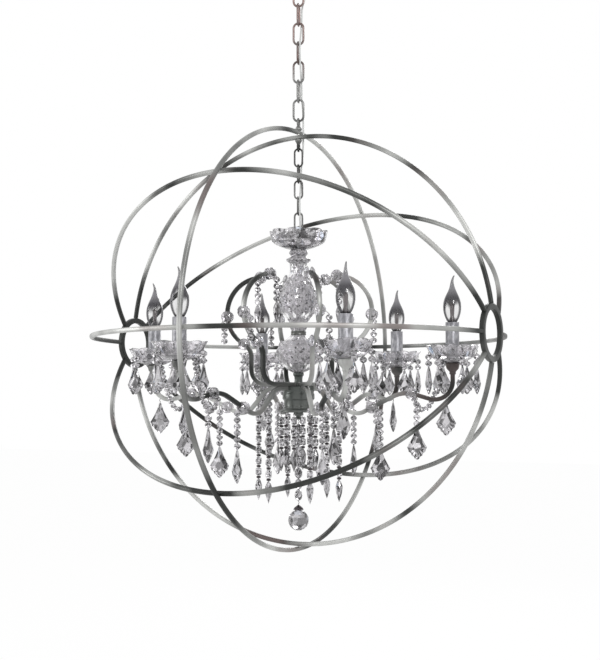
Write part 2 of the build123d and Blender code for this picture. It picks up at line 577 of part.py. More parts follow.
def underside(reach):
    """Height of the arm's lower face where it passes this far from the centre."""
    for near, far in zip(arm_corners, arm_corners[1:]):
        if near.X <= reach < far.X:
            slope = (far.Y - near.Y) / (far.X - near.X)
            return near.Y + slope * (reach - near.X) - ARM_BAR / 2 * sqrt(1 + slope**2)


def dish_under(reach):
    """Height of a candle dish's outer face this far from its candle."""
    corners = [(DISH_FOOT_OD / 2, 0), (DISH_HIP * DISH_OD / 2, HIP_HEIGHT * DISH_HEIGHT),
               (DISH_OD / 2, DISH_HEIGHT)]
    near, far = corners[:2] if reach < corners[1][0] else corners[1:]
    return dish_foot + near[1] + (far[1] - near[1]) * (reach - near[0]) / (far[0] - near[0])


def from_rosette(spot, side_step):
    """A short hook from a rosette's face, and the point that it holds."""
    face = (spot.X, rosette_face, spot.Y)
    held = (spot.X, rosette_face + side_step, spot.Y - side_step)
    return bead_between(face, held, HOOK_WIDTH), held


festoon_top = (CANDLE_CIRCLE - FESTOON_IN, rosette_face + RONDELLE_OD / 2)
reach = hypot(FESTOON_IN, festoon_top[1])
start = Vector(festoon_top[0], festoon_top[1], dish_under(reach) - HANG_GAP)
end = Vector(arm_spots[1].X, rosette_face + RONDELLE_OD / 2, arm_spots[1].Y - RONDELLE_OD / 2)


def festoon_point(share):
    """A point of the hanging bead string, by share of its span."""
    return start + (end - start) * share - Vector(0, 0, 4 * FESTOON_SAG * share * (1 - share))


fine = [festoon_point(k / 200) for k in range(201)]
run = [0.0]
for a, b in zip(fine, fine[1:]):
    run.append(run[-1] + (b - a).length)
festoon_count = round(run[-1] / RONDELLE_LENGTH)
knots = []
for k in range(festoon_count + 1):
    want = run[-1] * k / festoon_count
    knots.append(fine[min(range(len(run)), key=lambda i: abs(run[i] - want))])
festoon = [bead_between(a, b, RONDELLE_OD) for a, b in zip(knots, knots[1:])]
festoon.append(from_rosette(arm_spots[1], RONDELLE_OD / 2)[0])
save("festoons", on_arms(festoon))
print("festoon", festoon_count, "beads, length", round(run[-1], 1))

drops = []
drop_reach = DISH_OD / 2 - DISH_DROP_INSET - DISH_WALL / 2
for k in range(DISH_DROP_COUNT):
    turn = 360.0 / DISH_DROP_COUNT * k
    x, y = drop_reach * cos(radians(turn)), drop_reach * sin(radians(turn))
    top = (x, y, dish_under(drop_reach) - HANG_GAP)
    strand, low = hanging(top, [hook(), beads(DISH_DROP_BEAD_COUNT)])
    drops += [at_candle(bead) for bead in strand]
    drops.append(at_candle(kite(DISH_KITE_WIDTH, DISH_KITE_LENGTH, low, turn + 90)))
save("bobeche_drops", on_arms(drops))

drops = []
for inset, count in zip(ARM_DROP_INSETS, ARM_DROP_BEAD_COUNTS):
    reach = CANDLE_CIRCLE - inset
    strand, low = hanging((reach, 0, underside(reach)), [hook(), beads(count)])
    drops += strand + [kite(KITE_WIDTH, KITE_LENGTH, low, 20.0)]
save("arm_drops", on_arms(drops))

drops = []
for spot, is_top in ((scroll_spots[2], True), (scroll_spots[1], False)):
    held_by, held = from_rosette(spot, BEAD_OD / 2 + 0.5)
    strand, low = hanging(held, [beads(SCROLL_DROP_BEAD_COUNT)])
    drops += [held_by] + strand + ([spear(low)] if is_top else [])
save("scroll_drops", on_arms(drops))

strand_top = underside(HUB_STRAND_CIRCLE) - SWING_GAP
strand, low = hanging((HUB_STRAND_CIRCLE, 0, strand_top),
                      [hook(), beads(1)] + baguettes(HUB_STRAND_COUNT))
strand.append(spear(low))
for k in range(ARM_COUNT):
    save(f"hub_strand_{k + 1}", [Rot(0, 0, FIXTURE_TURN + 360.0 / ARM_COUNT * k) * s for s in strand])
strand, low = hanging((INNER_STRAND_CIRCLE, 0, hub_foot), [hook()] + baguettes(INNER_STRAND_COUNT))
strand.append(spear(low))
save("inner_strands", [c for s in strand for c in around(s, ARM_COUNT, FIXTURE_TURN + 30)])

centre_bead = (CENTRE_BEAD_LENGTH, CENTRE_BEAD_OD, ROSETTE_SIDE_COUNT, 0.5, CENTRE_BEAD_COUNT)
centre, low = hanging((0, 0, finial_foot - SWING_GAP), [hook(), centre_bead, hook()])
cap_top = low[2]
cap_foot = cap_top - CENTRE_CAP_HEIGHT
centre.append(faceted([[(0.0, 0.0, cap_top)], level_ring(CENTRE_CAP_OD / 2, cap_foot, scallop=2.0)]))
half = CENTRE_BALL_OD / 2
ball_middle = cap_foot - half
ball_rings = [[(0.0, 0.0, ball_middle - half)]]
for tilt in (-50.0, -17.0, 17.0, 50.0):
    ball_rings.append(level_ring(half * cos(radians(tilt)), ball_middle + half * sin(radians(tilt)), 10))
ball_rings.append([(0.0, 0.0, cap_foot)])
centre.append(faceted(ball_rings))
save("centre_drop", centre)

# ---- lamp wire --------------------------------------------------------------------------
LAY_OUT, LAY_SIDE, LAY_HALF = 4.5, 10.0, 14.0                # beside the upper links
INNER_OUT, INNER_SIDE, INNER_HALF = 3.85, 8.0, 11.0          # beside the inner links
CROSSING = 7.0                                               # beside both bars of the crossing


def crossing_point(z):
    """The wire's place beside the hanger, in the chain's frame."""
    turn = radians(-CHAIN_TURN)
    x = CROSSING * (cos(turn) - sin(turn))
    y = CROSSING * (sin(turn) + cos(turn))
    return x, y, z


route = [(BUSHING_OFFSET, 0, -CANOPY_DEPTH + 8), (BUSHING_OFFSET, 0, -CANOPY_DEPTH - 16),
         (12.0, 8.0, link_middles[0] - 3)]
side = 1
for k in range(1, LINK_COUNT, 2):
    route += [(LAY_OUT, side * LAY_SIDE, link_middles[k] + LAY_HALF),
              (LAY_OUT, side * LAY_SIDE, link_middles[k] - LAY_HALF)]
    side = -side
route += [(7.5, 10.5, hanger_eye + 22), crossing_point(hanger_eye - 9),
          crossing_point(lower_seat - 6), (7.0, 8.0, lower_eye - 16)]
side = 1
for k in range(1, INNER_COUNT, 2):
    route += [(INNER_OUT, side * INNER_SIDE, inner_middles[k] + INNER_HALF),
              (INNER_OUT, side * INNER_SIDE, inner_middles[k] - INNER_HALF)]
    side = -side
route += [(*column_wire_exit, flange_top + 16), (*column_wire_exit, flange_top - 4)]
points = [Vector(*p) for p in route]
radii = []
for a, b, c in zip(points, points[1:], points[2:]):
    turn = radians((b - a).get_angle(c - b))
    radii.append(0.45 * min((b - a).length, (c - b).length) / tan(turn / 2))
print("wire radii", [round(r, 1) for r in radii])
wire_path = FilletPolyline(*points, radius=radii)
section = Plane(origin=wire_path @ 0, z_dir=wire_path % 0) * RegularPolygon(WIRE_OD / 2, WIRE_SIDE_COUNT)
lamp_wire = Rot(0, 0, CHAIN_TURN) * sweep(section, path=wire_path)
print("wire length", round(wire_path.length, 1), "volume share",
      round(lamp_wire.volume / (section.area * wire_path.length), 4))
save("lamp_wire", [lamp_wire])
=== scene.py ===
from math import asin, atan2, cos, degrees, hypot, pi, radians, sin, sqrt, tan

import bmesh
import bpy
from mathutils import Matrix, Vector


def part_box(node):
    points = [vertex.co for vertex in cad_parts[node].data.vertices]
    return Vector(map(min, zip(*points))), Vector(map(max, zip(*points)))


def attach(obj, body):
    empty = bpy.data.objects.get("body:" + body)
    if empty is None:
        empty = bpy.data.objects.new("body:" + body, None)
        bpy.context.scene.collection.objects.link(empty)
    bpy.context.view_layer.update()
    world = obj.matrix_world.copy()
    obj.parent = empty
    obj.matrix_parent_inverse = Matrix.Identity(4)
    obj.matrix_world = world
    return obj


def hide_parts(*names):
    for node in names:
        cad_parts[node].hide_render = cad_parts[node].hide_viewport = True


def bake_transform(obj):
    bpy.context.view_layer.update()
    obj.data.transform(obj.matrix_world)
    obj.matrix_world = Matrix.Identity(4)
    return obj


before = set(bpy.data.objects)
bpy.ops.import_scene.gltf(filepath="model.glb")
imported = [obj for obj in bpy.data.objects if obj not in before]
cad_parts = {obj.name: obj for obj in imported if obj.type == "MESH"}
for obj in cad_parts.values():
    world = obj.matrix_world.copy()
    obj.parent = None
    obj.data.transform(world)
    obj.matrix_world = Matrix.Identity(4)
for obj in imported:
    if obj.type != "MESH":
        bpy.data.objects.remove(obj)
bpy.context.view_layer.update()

# Looks of the orb chandelier, over the frame's solids. Lengths are millimetres until a mesh is
# made, +Z is up, and the origin is at the ceiling. +X runs through the cage's open end rings.

MM = 0.001


def corner(node, side):
    """The lowest (0) or highest (1) corner of a frame node, in millimetres."""
    return Vector(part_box(node)[side]) / MM


def ends(node):
    """The lowest and highest levels of a frame node."""
    return corner(node, 0).z, corner(node, 1).z


# ---- sizes -------------------------------------------------------------------------------
ORB = Vector((0, 0, sum(ends("outer_hoop")) / 2))
HOOP_RADIUS, HALF_BAR_RADIUS = 404.0, 394.65             # to the middle of the bars
BAR, BAR_EDGE, ARM_BAR, ARM_EDGE = 8.4, 3.0, 8.0, 1.4    # square bars and their edge radius
HALF_BAR_COUNT, HOOP_STEPS, HALF_BAR_STEPS = 8, 600, 300
END_RING_REACH, END_RING_OD, END_RING_ID, END_RING_WIDTH = 391.14, 105.0, 84.0, 9.0

CHAIN_TURN = 18.0                                        # degrees to the plane of the first link
CHAIN_LINKS, INNER_LINKS = 7, 5
LINK_SIZE, INNER_LINK_SIZE = (47.1, 24.0, 4.3), (39.0, 19.0, 3.6)    # length, width and wire
LINK_BODIES = ["link_1"] + ["middle_chain"] * (CHAIN_LINKS - 2) + ["link_7"]
EYE_OD, EYE_WIRE = 20.0, 4.3                             # ring eye of each loop
CANOPY_LOW = ends("canopy")[0]
CANOPY_RADIUS, CANOPY_FLAT, CANOPY_LIP, CANOPY_WALL, CANOPY_BORE = 65.0, 23.0, 4.0, 1.2, 5.1

TUBE = 5.0                                               # radius that clears the column's tube
HUB_FOOT, HUB_TOP = ends("hub_cup")
FINIAL_FOOT = ends("hub_finial")[0]
ARM_COUNT, FIRST_ARM_TURN, CANDLE_CIRCLE = 6, 14.3, 298.0
ARM_TURNS = [FIRST_ARM_TURN + 360.0 / ARM_COUNT * k for k in range(ARM_COUNT)]
ARM_LINE, SCROLL_LINE = HUB_TOP - ARM_BAR / 2, HUB_TOP + ARM_BAR / 2
ARM_TIP = ARM_LINE + 25.5
ON_CANDLE = Matrix.Translation((CANDLE_CIRCLE, 0, 0))
DISH_FOOT, DISH_RIM = ends("bobeches")
DISH_FOOT_RADIUS, DISH_RADIUS, DISH_HEIGHT = 17.0, 51.0, 33.0
SLEEVE_FOOT, SLEEVE_TOP = ends("candle_sleeves")
BULB_FOOT, BULB_HEIGHT = ends("bulb_1")[0], 114.0
ROSETTE_FACE = ARM_BAR / 2 + 7.0                         # out from the middle of an arm
PIN_RADIUS, TOUCH = 0.6, 0.3                             # bent pins, and how deep a hook is set
DROP_CIRCLE, DROP_COUNT = 45.0, 6                        # of the pendants round a candle dish
STRAND_CIRCLE, SHORT_STRAND_CIRCLE = 80.0, 34.0          # of the strands under the hub


# ---- finishes ----------------------------------------------------------------------------
class Tone:
    """One value over a surface: a shader socket that Python's operators work on."""

    def __init__(self, nodes, socket):
        self.nodes, self.socket = nodes, socket

    def worked(self, operation, *values):
        return self.nodes.node("ShaderNodeMath", {"operation": operation}, dict(enumerate(values)))

    def __add__(self, other):
        return self.worked("ADD", self, other)

    def __sub__(self, other):
        return self.worked("SUBTRACT", self, other)

    def __rsub__(self, other):
        return self.worked("SUBTRACT", other, self)

    def __mul__(self, other):
        return self.worked("MULTIPLY", self, other)

    def or_else(self, other):
        """The greater of two values."""
        return self.worked("MAXIMUM", self, other)

    __radd__ = __add__
    __rmul__ = __mul__


class ShaderNodes:
    """The nodes of a material or of the world, in the making."""

    def __init__(self, tree):
        self.tree = tree

    def node(self, kind, settings=None, sockets=None, out=0):
        """A node with its settings made first, then the values or links of its sockets."""
        made = self.tree.nodes.new(kind)
        settings = dict(settings or {})
        stops = settings.pop("stops", None)
        for setting, value in settings.items():
            setattr(made, setting, value)
        if stops:
            ramp = made.color_ramp
            while len(ramp.elements) < len(stops):
                ramp.elements.new(0.5)
            for element, (position, colour) in zip(ramp.elements, stops):
                element.position, element.color = position, (*colour, 1)
        for socket, value in (sockets or {}).items():
            self.join(value, made.inputs[socket])
        return Tone(self, made.outputs[out])

    def join(self, value, socket):
        if isinstance(value, Tone):
            self.tree.links.new(value.socket, socket)
        else:
            socket.default_value = value

    def ramp(self, value, *stops):
        return self.node("ShaderNodeValToRGB", {"stops": stops}, {0: value})

    def greys(self, value, *stops):
        """A ramp whose stops are plain shares from nothing to one."""
        return self.ramp(value, *[(position, (grey,) * 3) for position, grey in stops])

    def between(self, low, high, share):
        """One colour turning to another by share; each is three numbers or already a Tone."""
        low, high = (c if isinstance(c, Tone) else (*c, 1) for c in (low, high))
        return self.node("ShaderNodeMix", {"data_type": "RGBA"}, {0: share, 6: low, 7: high}, out=2)

    def looked_at(self):
        """One for what the camera sees, by itself, in gloss or through glass, and else nothing."""
        camera, gloss, glass = [self.node("ShaderNodeLightPath", out=f"Is {ray} Ray")
                                for ray in ("Camera", "Glossy", "Transmission")]
        return camera.or_else(gloss).or_else(glass)


class Finish(ShaderNodes):
    """A material in the making, with its surface shader and its place on the object."""

    def __init__(self, name, **constants):
        self.material = bpy.data.materials.new(name)
        self.material.use_nodes = True
        super().__init__(self.material.node_tree)
        self.shader = self.tree.nodes["Principled BSDF"]
        for socket, value in constants.items():
            self.shader.inputs[socket.replace("_", " ")].default_value = value
        self.place = self.node("ShaderNodeTexCoord", out="Object")

    def noise(self, scale, detail=3.0, stretch=(1, 1, 1), roughness=0.5):
        """Cloudy values over the surface, at features per metre, drawn out along an axis."""
        place = self.node("ShaderNodeMapping", None, {"Vector": self.place, "Scale": stretch})
        return self.node("ShaderNodeTexNoise", None, {
            "Vector": place, "Scale": scale, "Detail": detail, "Roughness": roughness})

    def mottled(self, colour, darkest, scale, detail):
        """The colour, clouded towards a darker share of itself."""
        return self.between([c * darkest for c in colour], colour, self.noise(scale, detail))

    def height(self):
        """The level of the surface in metres."""
        return self.node("ShaderNodeSeparateXYZ", None, {0: self.place}, out="Z")

    def bumps(self, value, distance, strength):
        bump = self.node("ShaderNodeBump", None, {
            "Height": value, "Distance": distance, "Strength": strength})
        self.join(bump, self.shader.inputs["Normal"])

    def set(self, **values):
        for socket, value in values.items():
            self.join(value, self.shader.inputs[socket.replace("_", " ")])
        return self.material


def antique_silver(name, light, dark, blush, blush_at, roughness, blush_above=None):
    """Hand-rubbed silver over iron: brushed, with a warm blush where it is worn, and clouded from dark to
    light in broad patches, partly patina and partly painted reflection bands.

    With a level in metres, the blush starts there and comes in over the next twelfth of a metre.
    """
    finish = Finish(name, Metallic=0.5, Specular_IOR_Level=0.25)
    patina_and_reflection_cloud = finish.noise(6.1, 2, (1, 0.8, 1))
    rub = finish.noise(420, 2, (1, 1, 0.25))
    # the broad clouds between dark and light are partly patina and partly painted reflection bands
    body = finish.between(dark, light, finish.greys(patina_and_reflection_cloud, (0.42, 0), (0.60, 1)))
    warm = finish.greys(finish.noise(7.3, 2), (blush_at, 0), (blush_at + 0.16, 1))
    if blush_above is not None:
        rise = (finish.height() - blush_above) * 12.0
        warm = warm * finish.greys(rise, (0.0, 0), (1.0, 1))
    finish.bumps(finish.noise(55, 2), 0.0001, 0.08)
    return finish.set(Base_Color=finish.between(body, blush, warm * 0.7),
                      Roughness=rub * 0.12 + (roughness - 0.06))


def cut_crystal(name, tones, clear, splinter, share, roughness=0.03):
    """Polished lead glass whose colour paints its reflections: each facet, and each splinter of light
    inside it, gets its own painted shade or highlight.

    Tones go from the darkest painted facets to the brightest, with a painted blue glint at the top;
    splinters are counted per metre.
    """
    finish = Finish(name, Metallic=0.0, IOR=1.55, Transmission_Weight=clear, Roughness=roughness,
                    Specular_IOR_Level=0.8)
    normal = finish.node("ShaderNodeNewGeometry", out="True Normal")
    splinters = finish.node("ShaderNodeTexVoronoi", None, {"Vector": finish.place, "Scale": splinter},
                            out="Color")
    mixed = finish.node("ShaderNodeVectorMath", {"operation": "MULTIPLY_ADD"}, {
        0: normal, 1: (share,) * 3, 2: splinters})
    steps = finish.node("ShaderNodeVectorMath", {"operation": "SNAP"}, {0: mixed, 1: (0.4,) * 3})
    # a painted shade or highlight for each facet and splinter, picked at random
    depth = finish.node("ShaderNodeTexWhiteNoise", {"noise_dimensions": "3D"}, {0: steps})
    violet = [(at, (tone * 0.99, tone * 0.97, tone)) for at, tone in tones]
    painted_blue_glint = (0.99, (0.66, 0.78, 0.97))
    return finish.set(Base_Color=finish.ramp(depth, *violet, painted_blue_glint))


def bulb_glass():
    """Smoky glass: a clear belly with a painted dark rim where the glass turns from view, darker towards
    the flame's tip as a painted dark reflection, with a painted highlight band near the tip.
    """
    finish = Finish("smoky_bulb_glass_with_painted_reflection", Metallic=0.0, Roughness=0.04, IOR=1.5, Specular_IOR_Level=0.5)
    up = (finish.height() - BULB_FOOT * MM) * (1 / (BULB_HEIGHT * MM))
    streaks = finish.noise(60, 2, (1, 1, 0.2))
    reach = up + (streaks - 0.5) * 0.5
    # darker towards the tip as a painted dark reflection; the lighter stop at 0.80 is a painted highlight
    # near the tip
    smoke_and_painted_reflection = finish.ramp(up, (0.16, (0.05, 0.05, 0.055)), (0.30, (0.07, 0.068, 0.075)),
                        (0.62, (0.045, 0.043, 0.05)), (0.80, (0.24, 0.235, 0.25)), (1.0, (0.04,) * 3))
    solid = finish.greys(reach, (0.22, 0.8), (0.29, 0.14), (0.48, 0.1), (0.58, 0.9), (0.78, 0.96),
                         (0.95, 0.55))
    # a painted dark rim, more solid where the glass turns from view
    edge = finish.node("ShaderNodeLayerWeight", None, {"Blend": 0.5}, out="Facing")
    return finish.set(Base_Color=smoke_and_painted_reflection, Alpha=solid + finish.greys(edge, (0.26, 0.0), (0.46, 0.75)))


def plain_metal(name, colour, roughness):
    """Turned or plated metal with fine tool marks."""
    finish = Finish(name, Metallic=1.0, Specular_IOR_Level=0.5)
    marks = finish.noise(300, 3, (1, 1, 6))
    finish.bumps(marks, 0.0001, 0.3)
    return finish.set(Base_Color=finish.mottled(colour, 0.72, 30, 3),
                      Roughness=marks * 0.2 + (roughness - 0.1))


def candle_cover():
    """Silvered candle cover with a mottled, lightly dripped skin."""
    finish = Finish("mottled_candle_cover", Metallic=0.35, Specular_IOR_Level=0.6)
    mottle = finish.noise(170, 5, (1, 1, 0.45), 0.65)
    drips = finish.noise(60, 2, (1, 1, 0.12))
    finish.bumps(mottle + drips, 0.0006, 0.45)
    colour = finish.ramp(mottle, (0.3, (0.13, 0.13, 0.14)), (0.5, (0.25, 0.25, 0.27)),
                         (0.68, (0.46, 0.46, 0.48)))
    return finish.set(Base_Color=colour, Roughness=mottle * 0.3 + 0.22)


def moulded(name, colour, roughness):
    """Moulded plastic or drawn glass with a fine, even skin."""
    finish = Finish(name, Metallic=0.0)
    grain = finish.noise(900, 2)
    finish.bumps(grain, 0.00008, 0.3)
    return finish.set(Base_Color=finish.mottled(colour, 0.7, 40, 2),
                      Roughness=grain * 0.2 + (roughness - 0.1))


# light and dark are the ends of the broad clouds: partly patina, partly painted reflection bands
iron = antique_silver("antique_silver_iron", (0.50, 0.505, 0.49), (0.035, 0.037, 0.035),
                      (0.17, 0.135, 0.13), blush_at=0.56, roughness=0.42)
chain_iron = antique_silver("antique_silver_chain", (0.24, 0.24, 0.235), (0.06, 0.06, 0.058),
                            (0.22, 0.13, 0.115), blush_at=0.36, roughness=0.3, blush_above=-0.24)
hub_metal = antique_silver("dark_turned_silver", (0.13, 0.137, 0.13), (0.07, 0.08, 0.075),
                           (0.13, 0.12, 0.115), blush_at=0.55, roughness=0.24)
# The tones of each glass are painted shade and highlight on its facets, from darkest to brightest.
crystal = cut_crystal(
    "facetted_crystal", ((0.0, 0.006), (0.28, 0.05), (0.40, 0.42), (0.6, 0.92), (0.95, 1.0)),
    clear=0.72, splinter=140.0, share=0.9)
plate_crystal = cut_crystal(
    "plate_crystal", ((0.0, 0.01), (0.22, 0.06), (0.38, 0.36), (0.62, 0.70), (0.95, 1.0)),
    clear=0.6, splinter=60.0, share=1.1)
pale_crystal = cut_crystal(
    "pale_crystal", ((0.0, 0.03), (0.13, 0.25), (0.3, 0.78), (0.95, 1.0)),
    clear=0.78, splinter=150.0, share=0.8)
pressed_glass = cut_crystal(
    "cut_glass", ((0.0, 0.02), (0.12, 0.10), (0.3, 0.5), (0.6, 0.92), (0.95, 1.0)),
    clear=0.8, splinter=85.0, share=0.45, roughness=0.04)
smoky_glass = cut_crystal(
    "smoky_cut_glass", ((0.0, 0.015), (0.18, 0.06), (0.36, 0.32), (0.62, 0.74), (0.95, 1.0)),
    clear=0.8, splinter=85.0, share=0.45, roughness=0.04)
ball_crystal = cut_crystal(
    "ball_crystal", ((0.0, 0.03), (0.2, 0.14), (0.4, 0.34), (0.66, 0.55), (0.95, 0.95)),
    clear=0.88, splinter=45.0, share=0.7)
column_glass = cut_crystal(
    "column_glass", ((0.0, 0.12), (0.14, 0.42), (0.36, 0.86), (0.6, 0.97), (0.95, 1.0)),
    clear=0.7, splinter=240.0, share=0.9, roughness=0.05)
lamp_glass = bulb_glass()
cover_skin = candle_cover()
plated = plain_metal("plated_steel", (0.62, 0.62, 0.60), 0.34)
cap_metal = plain_metal("bulb_cap_metal", (0.66, 0.63, 0.56), 0.28)
pin_metal = plain_metal("dark_pins", (0.09, 0.08, 0.085), 0.3)
insulator = moulded("black_insulator", (0.035, 0.035, 0.037), 0.45)
wire_jacket = moulded("clear_wire_jacket", (0.60, 0.61, 0.60), 0.25)
# the stem's dark grey is a painted dark reflection on clear glass
inner_glass = moulded("bulb_stem_glass", (0.20, 0.18, 0.18), 0.15)


# ---- shapes ------------------------------------------------------------------------------
class Shape:
    """Points and faces of a piece in the making, in millimetres."""

    def __init__(self):
        self.points, self.faces = [], []

    def add(self, other, *matrices):
        """A copy of another shape at each matrix, or once as it is."""
        for matrix in matrices or (Matrix(),):
            first = len(self.points)
            self.points += [matrix @ Vector(p) for p in other.points]
            self.faces += [[first + i for i in face] for face in other.faces]
        return self

    def mesh(self, name, finish, sharp):
        """The mesh in metres, faces outwards, crisp at edges sharper than this many degrees.

        Nothing for sharp leaves every facet flat.
        """
        mesh = bpy.data.meshes.new(name)
        mesh.from_pydata([Vector(p) * MM for p in self.points], [], self.faces)
        work = bmesh.new()
        work.from_mesh(mesh)
        bmesh.ops.recalc_face_normals(work, faces=work.faces)
        work.to_mesh(mesh)
        work.free()
        mesh.materials.append(finish)
        if sharp:
            mesh.shade_smooth()
            mesh.set_sharp_from_angle(angle=radians(sharp))
        return mesh


def turned(angle, axis="Z"):
    return Matrix.Rotation(radians(angle), 4, axis)


def on_arms(matrix=Matrix()):
    """That place, drawn on the +X arm, on every arm."""
    return [turned(angle) @ matrix for angle in ARM_TURNS]


def lofted(rings, closed=False, woven=False):
    """A skin over rings of points. A ring of one point is a tip; a woven skin is cut into
    triangles that lean both ways, as the rings are half a step apart."""
    shape = Shape()
    starts = []
    for ring in rings:
        starts.append(len(shape.points))
        shape.points += [Vector(p) for p in ring]
    pairs = list(zip(range(len(rings)), range(1, len(rings))))
    if closed:
        pairs.append((len(rings) - 1, 0))
    for number, (a, b) in enumerate(pairs):
        count = max(len(rings[a]), len(rings[b]))
        for i in range(count):
            j = (i + 1) % count
            a0, a1 = starts[a] + i % len(rings[a]), starts[a] + j % len(rings[a])
            b0, b1 = starts[b] + i % len(rings[b]), starts[b] + j % len(rings[b])
            if len(rings[a]) == 1:
                shape.faces.append([a0, b0, b1])
            elif len(rings[b]) == 1:
                shape.faces.append([a0, a1, b0])
            elif woven and number % 2:
                shape.faces += [[a0, a1, b1], [a0, b1, b0]]
            elif woven:
                shape.faces += [[a0, a1, b0], [a1, b1, b0]]
            else:
                shape.faces.append([a0, a1, b1, b0])
    if not closed:
        for index in (0, -1):
            if len(rings[index]) > 2:
                shape.faces.append([starts[index] + i for i in range(len(rings[index]))])
    return shape


def ring_of(radius, z, sides, turn=0.0, lean=0.0):
    """A level ring of points; a radius of nothing is a tip."""
    if radius <= 0:
        return [(lean, 0, z)]
    steps = [2 * pi * (k + turn) / sides for k in range(sides)]
    return [(lean + radius * cos(a), radius * sin(a), z) for a in steps]


def lathed(profile, sides, closed=False):
    """A turned piece from its (radius, z) profile."""
    return lofted([ring_of(r, z, sides) for r, z in profile], closed)


def gem(profile, sides):
    """A cut stone from its (radius, z) profile, with triangular facets."""
    rings = [ring_of(r, z, sides, 0.5 * (k % 2)) for k, (r, z) in enumerate(profile)]
    return lofted(rings, woven=True)


def softened(corners, radius, steps=3):
    """A (radius, z) profile with each inner corner rounded."""
    corners = [Vector(c) for c in corners]
    out = [corners[0]]
    for before, here, after in zip(corners, corners[1:], corners[2:]):
        reach = min(radius, (before - here).length * 0.45, (after - here).length * 0.45)
        start = here + (before - here).normalized() * reach
        end = here + (after - here).normalized() * reach
        for k in range(steps + 1):
            t = k / steps
            out.append(start * (1 - t) ** 2 + here * 2 * t * (1 - t) + end * t**2)
    return out + [corners[-1]]


def rod(points, radius, sides, closed=False):
    """A round wire through points."""
    points = [Vector(p) for p in points]
    count = len(points)
    rings = []
    across = None
    for k, here in enumerate(points):
        ahead = points[(k + 1) % count] if closed or k < count - 1 else here
        behind = points[k - 1] if closed or k else here
        heading = (ahead - behind).normalized()
        if across is None:
            across = heading.orthogonal().normalized()
        across = (across - heading * across.dot(heading)).normalized()
        side = heading.cross(across)
        rings.append([here + (across * cos(a) + side * sin(a)) * radius
                      for a in [2 * pi * i / sides for i in range(sides)]])
    return lofted(rings, closed)


def pin(*points):
    """A thin bent pin."""
    return rod(points, PIN_RADIUS, 6)


def link_line(length, width, wire, steps=14):
    """Centreline of a chain link in the XZ plane; equal sides give a ring."""
    radius = (width - wire) / 2
    straight = (length - wire) / 2 - radius
    points = []
    for side in (1, -1):
        for k in range(steps + 1):
            angle = pi * k / steps
            points.append(Vector((radius * cos(angle), 0, straight + radius * sin(angle))) * side)
    return points if straight > 0.01 else points[:steps] + points[steps + 1:-1]


CHORD = 6.0     # degrees of a bend to each straight piece


def bent_line(start, moves):
    """Points in the XZ plane along straight runs (length,) and bends (radius, degrees)."""
    here, heading = Vector(start), 0.0
    points = [here.copy()]
    for move in moves:
        if len(move) == 1:
            here = here + Vector((cos(heading), sin(heading))) * move[0]
            points.append(here.copy())
            continue
        radius, bend = move[0], radians(move[1])
        steps = max(2, round(abs(bend) / radians(CHORD)))
        for _ in range(steps):
            step = bend / steps
            run = 2 * radius * sin(abs(step) / 2)
            here = here + Vector((cos(heading + step / 2), sin(heading + step / 2))) * run
            heading += step
            points.append(here.copy())
    return [Vector((p.x, 0, p.y)) for p in points]


def rounded_line(corners, radii):
    """The straight line through (x, z) corners with each bend rounded to its radius."""
    corners = [Vector(c) for c in corners]
    points = [corners[0]]
    for before, here, after, radius in zip(corners, corners[1:], corners[2:], radii):
        into, out = (here - before).normalized(), (after - here).normalized()
        bend = atan2(into.x * out.y - into.y * out.x, into.dot(out))
        start = here - into * radius * tan(abs(bend) / 2)
        middle = start + Vector((-into.y, into.x)) * radius * (1 if bend > 0 else -1)
        steps = max(2, round(abs(bend) / radians(CHORD)))
        for k in range(steps + 1):
            turn = Matrix.Rotation(bend * k / steps, 2)
            points.append(middle + turn @ (start - middle))
    points.append(corners[-1])
    return [Vector((p.x, 0, p.y)) for p in points]


def along(line, share):
    """The point at this share of a line's length."""
    runs = [(b - a).length for a, b in zip(line, line[1:])]
    want = share * sum(runs)
    for run, a, b in zip(runs, line, line[1:]):
        if want <= run:
            return a + (b - a) * (want / run)
        want -= run
    return line[-1]


# ---- node trees for what follows a line or repeats ---------------------------------------
class GeometryTree:
    """A Geometry Nodes tree in the making."""

    def __init__(self, name, **inputs):
        self.tree = bpy.data.node_groups.new(name, "GeometryNodeTree")
        self.sockets = {}
        interface = self.tree.interface
        interface.new_socket("Geometry", in_out="INPUT", socket_type="NodeSocketGeometry")
        for label, kind in inputs.items():
            made = interface.new_socket(label.replace("_", " "), in_out="INPUT", socket_type=kind)
            self.sockets[label] = made.identifier
        interface.new_socket("Geometry", in_out="OUTPUT", socket_type="NodeSocketGeometry")
        self.given = self.tree.nodes.new("NodeGroupInput")
        self.result = self.tree.nodes.new("NodeGroupOutput")

    def input(self, label):
        return self.given.outputs[label.replace("_", " ")]

    def node(self, kind, settings=None, sockets=None, out=0):
        """A node with its settings made first, then the values or links of its sockets."""
        made = self.tree.nodes.new(kind)
        for setting, value in (settings or {}).items():
            setattr(made, setting, value)
        for socket, value in (sockets or {}).items():
            if isinstance(value, bpy.types.NodeSocket):
                self.tree.links.new(value, made.inputs[socket])
            else:
                made.inputs[socket].default_value = value
        return made.outputs[out]

    def finish(self, geometry):
        """Plain mesh with its material, as the tree's result."""
        real = self.node("GeometryNodeRealizeInstances", None, {0: geometry})
        coated = self.node("GeometryNodeSetMaterial", None, {
            "Geometry": real, "Material": self.input("Finish")})
        self.tree.links.new(coated, self.result.inputs[0])
        return self

    def run(self, mesh, name, **values):
        """The tree's result on a mesh, as a new plain mesh."""
        holder = bpy.data.objects.new(name, mesh)
        bpy.context.scene.collection.objects.link(holder)
        modifier = holder.modifiers.new(name, "NODES")
        modifier.node_group = self.tree
        for label, value in values.items():
            modifier[self.sockets[label]] = value
        view = bpy.context.evaluated_depsgraph_get()
        made = bpy.data.meshes.new_from_object(holder.evaluated_get(view))
        made.name = name
        holder.modifiers.clear()
        bpy.data.objects.remove(holder)
        return made


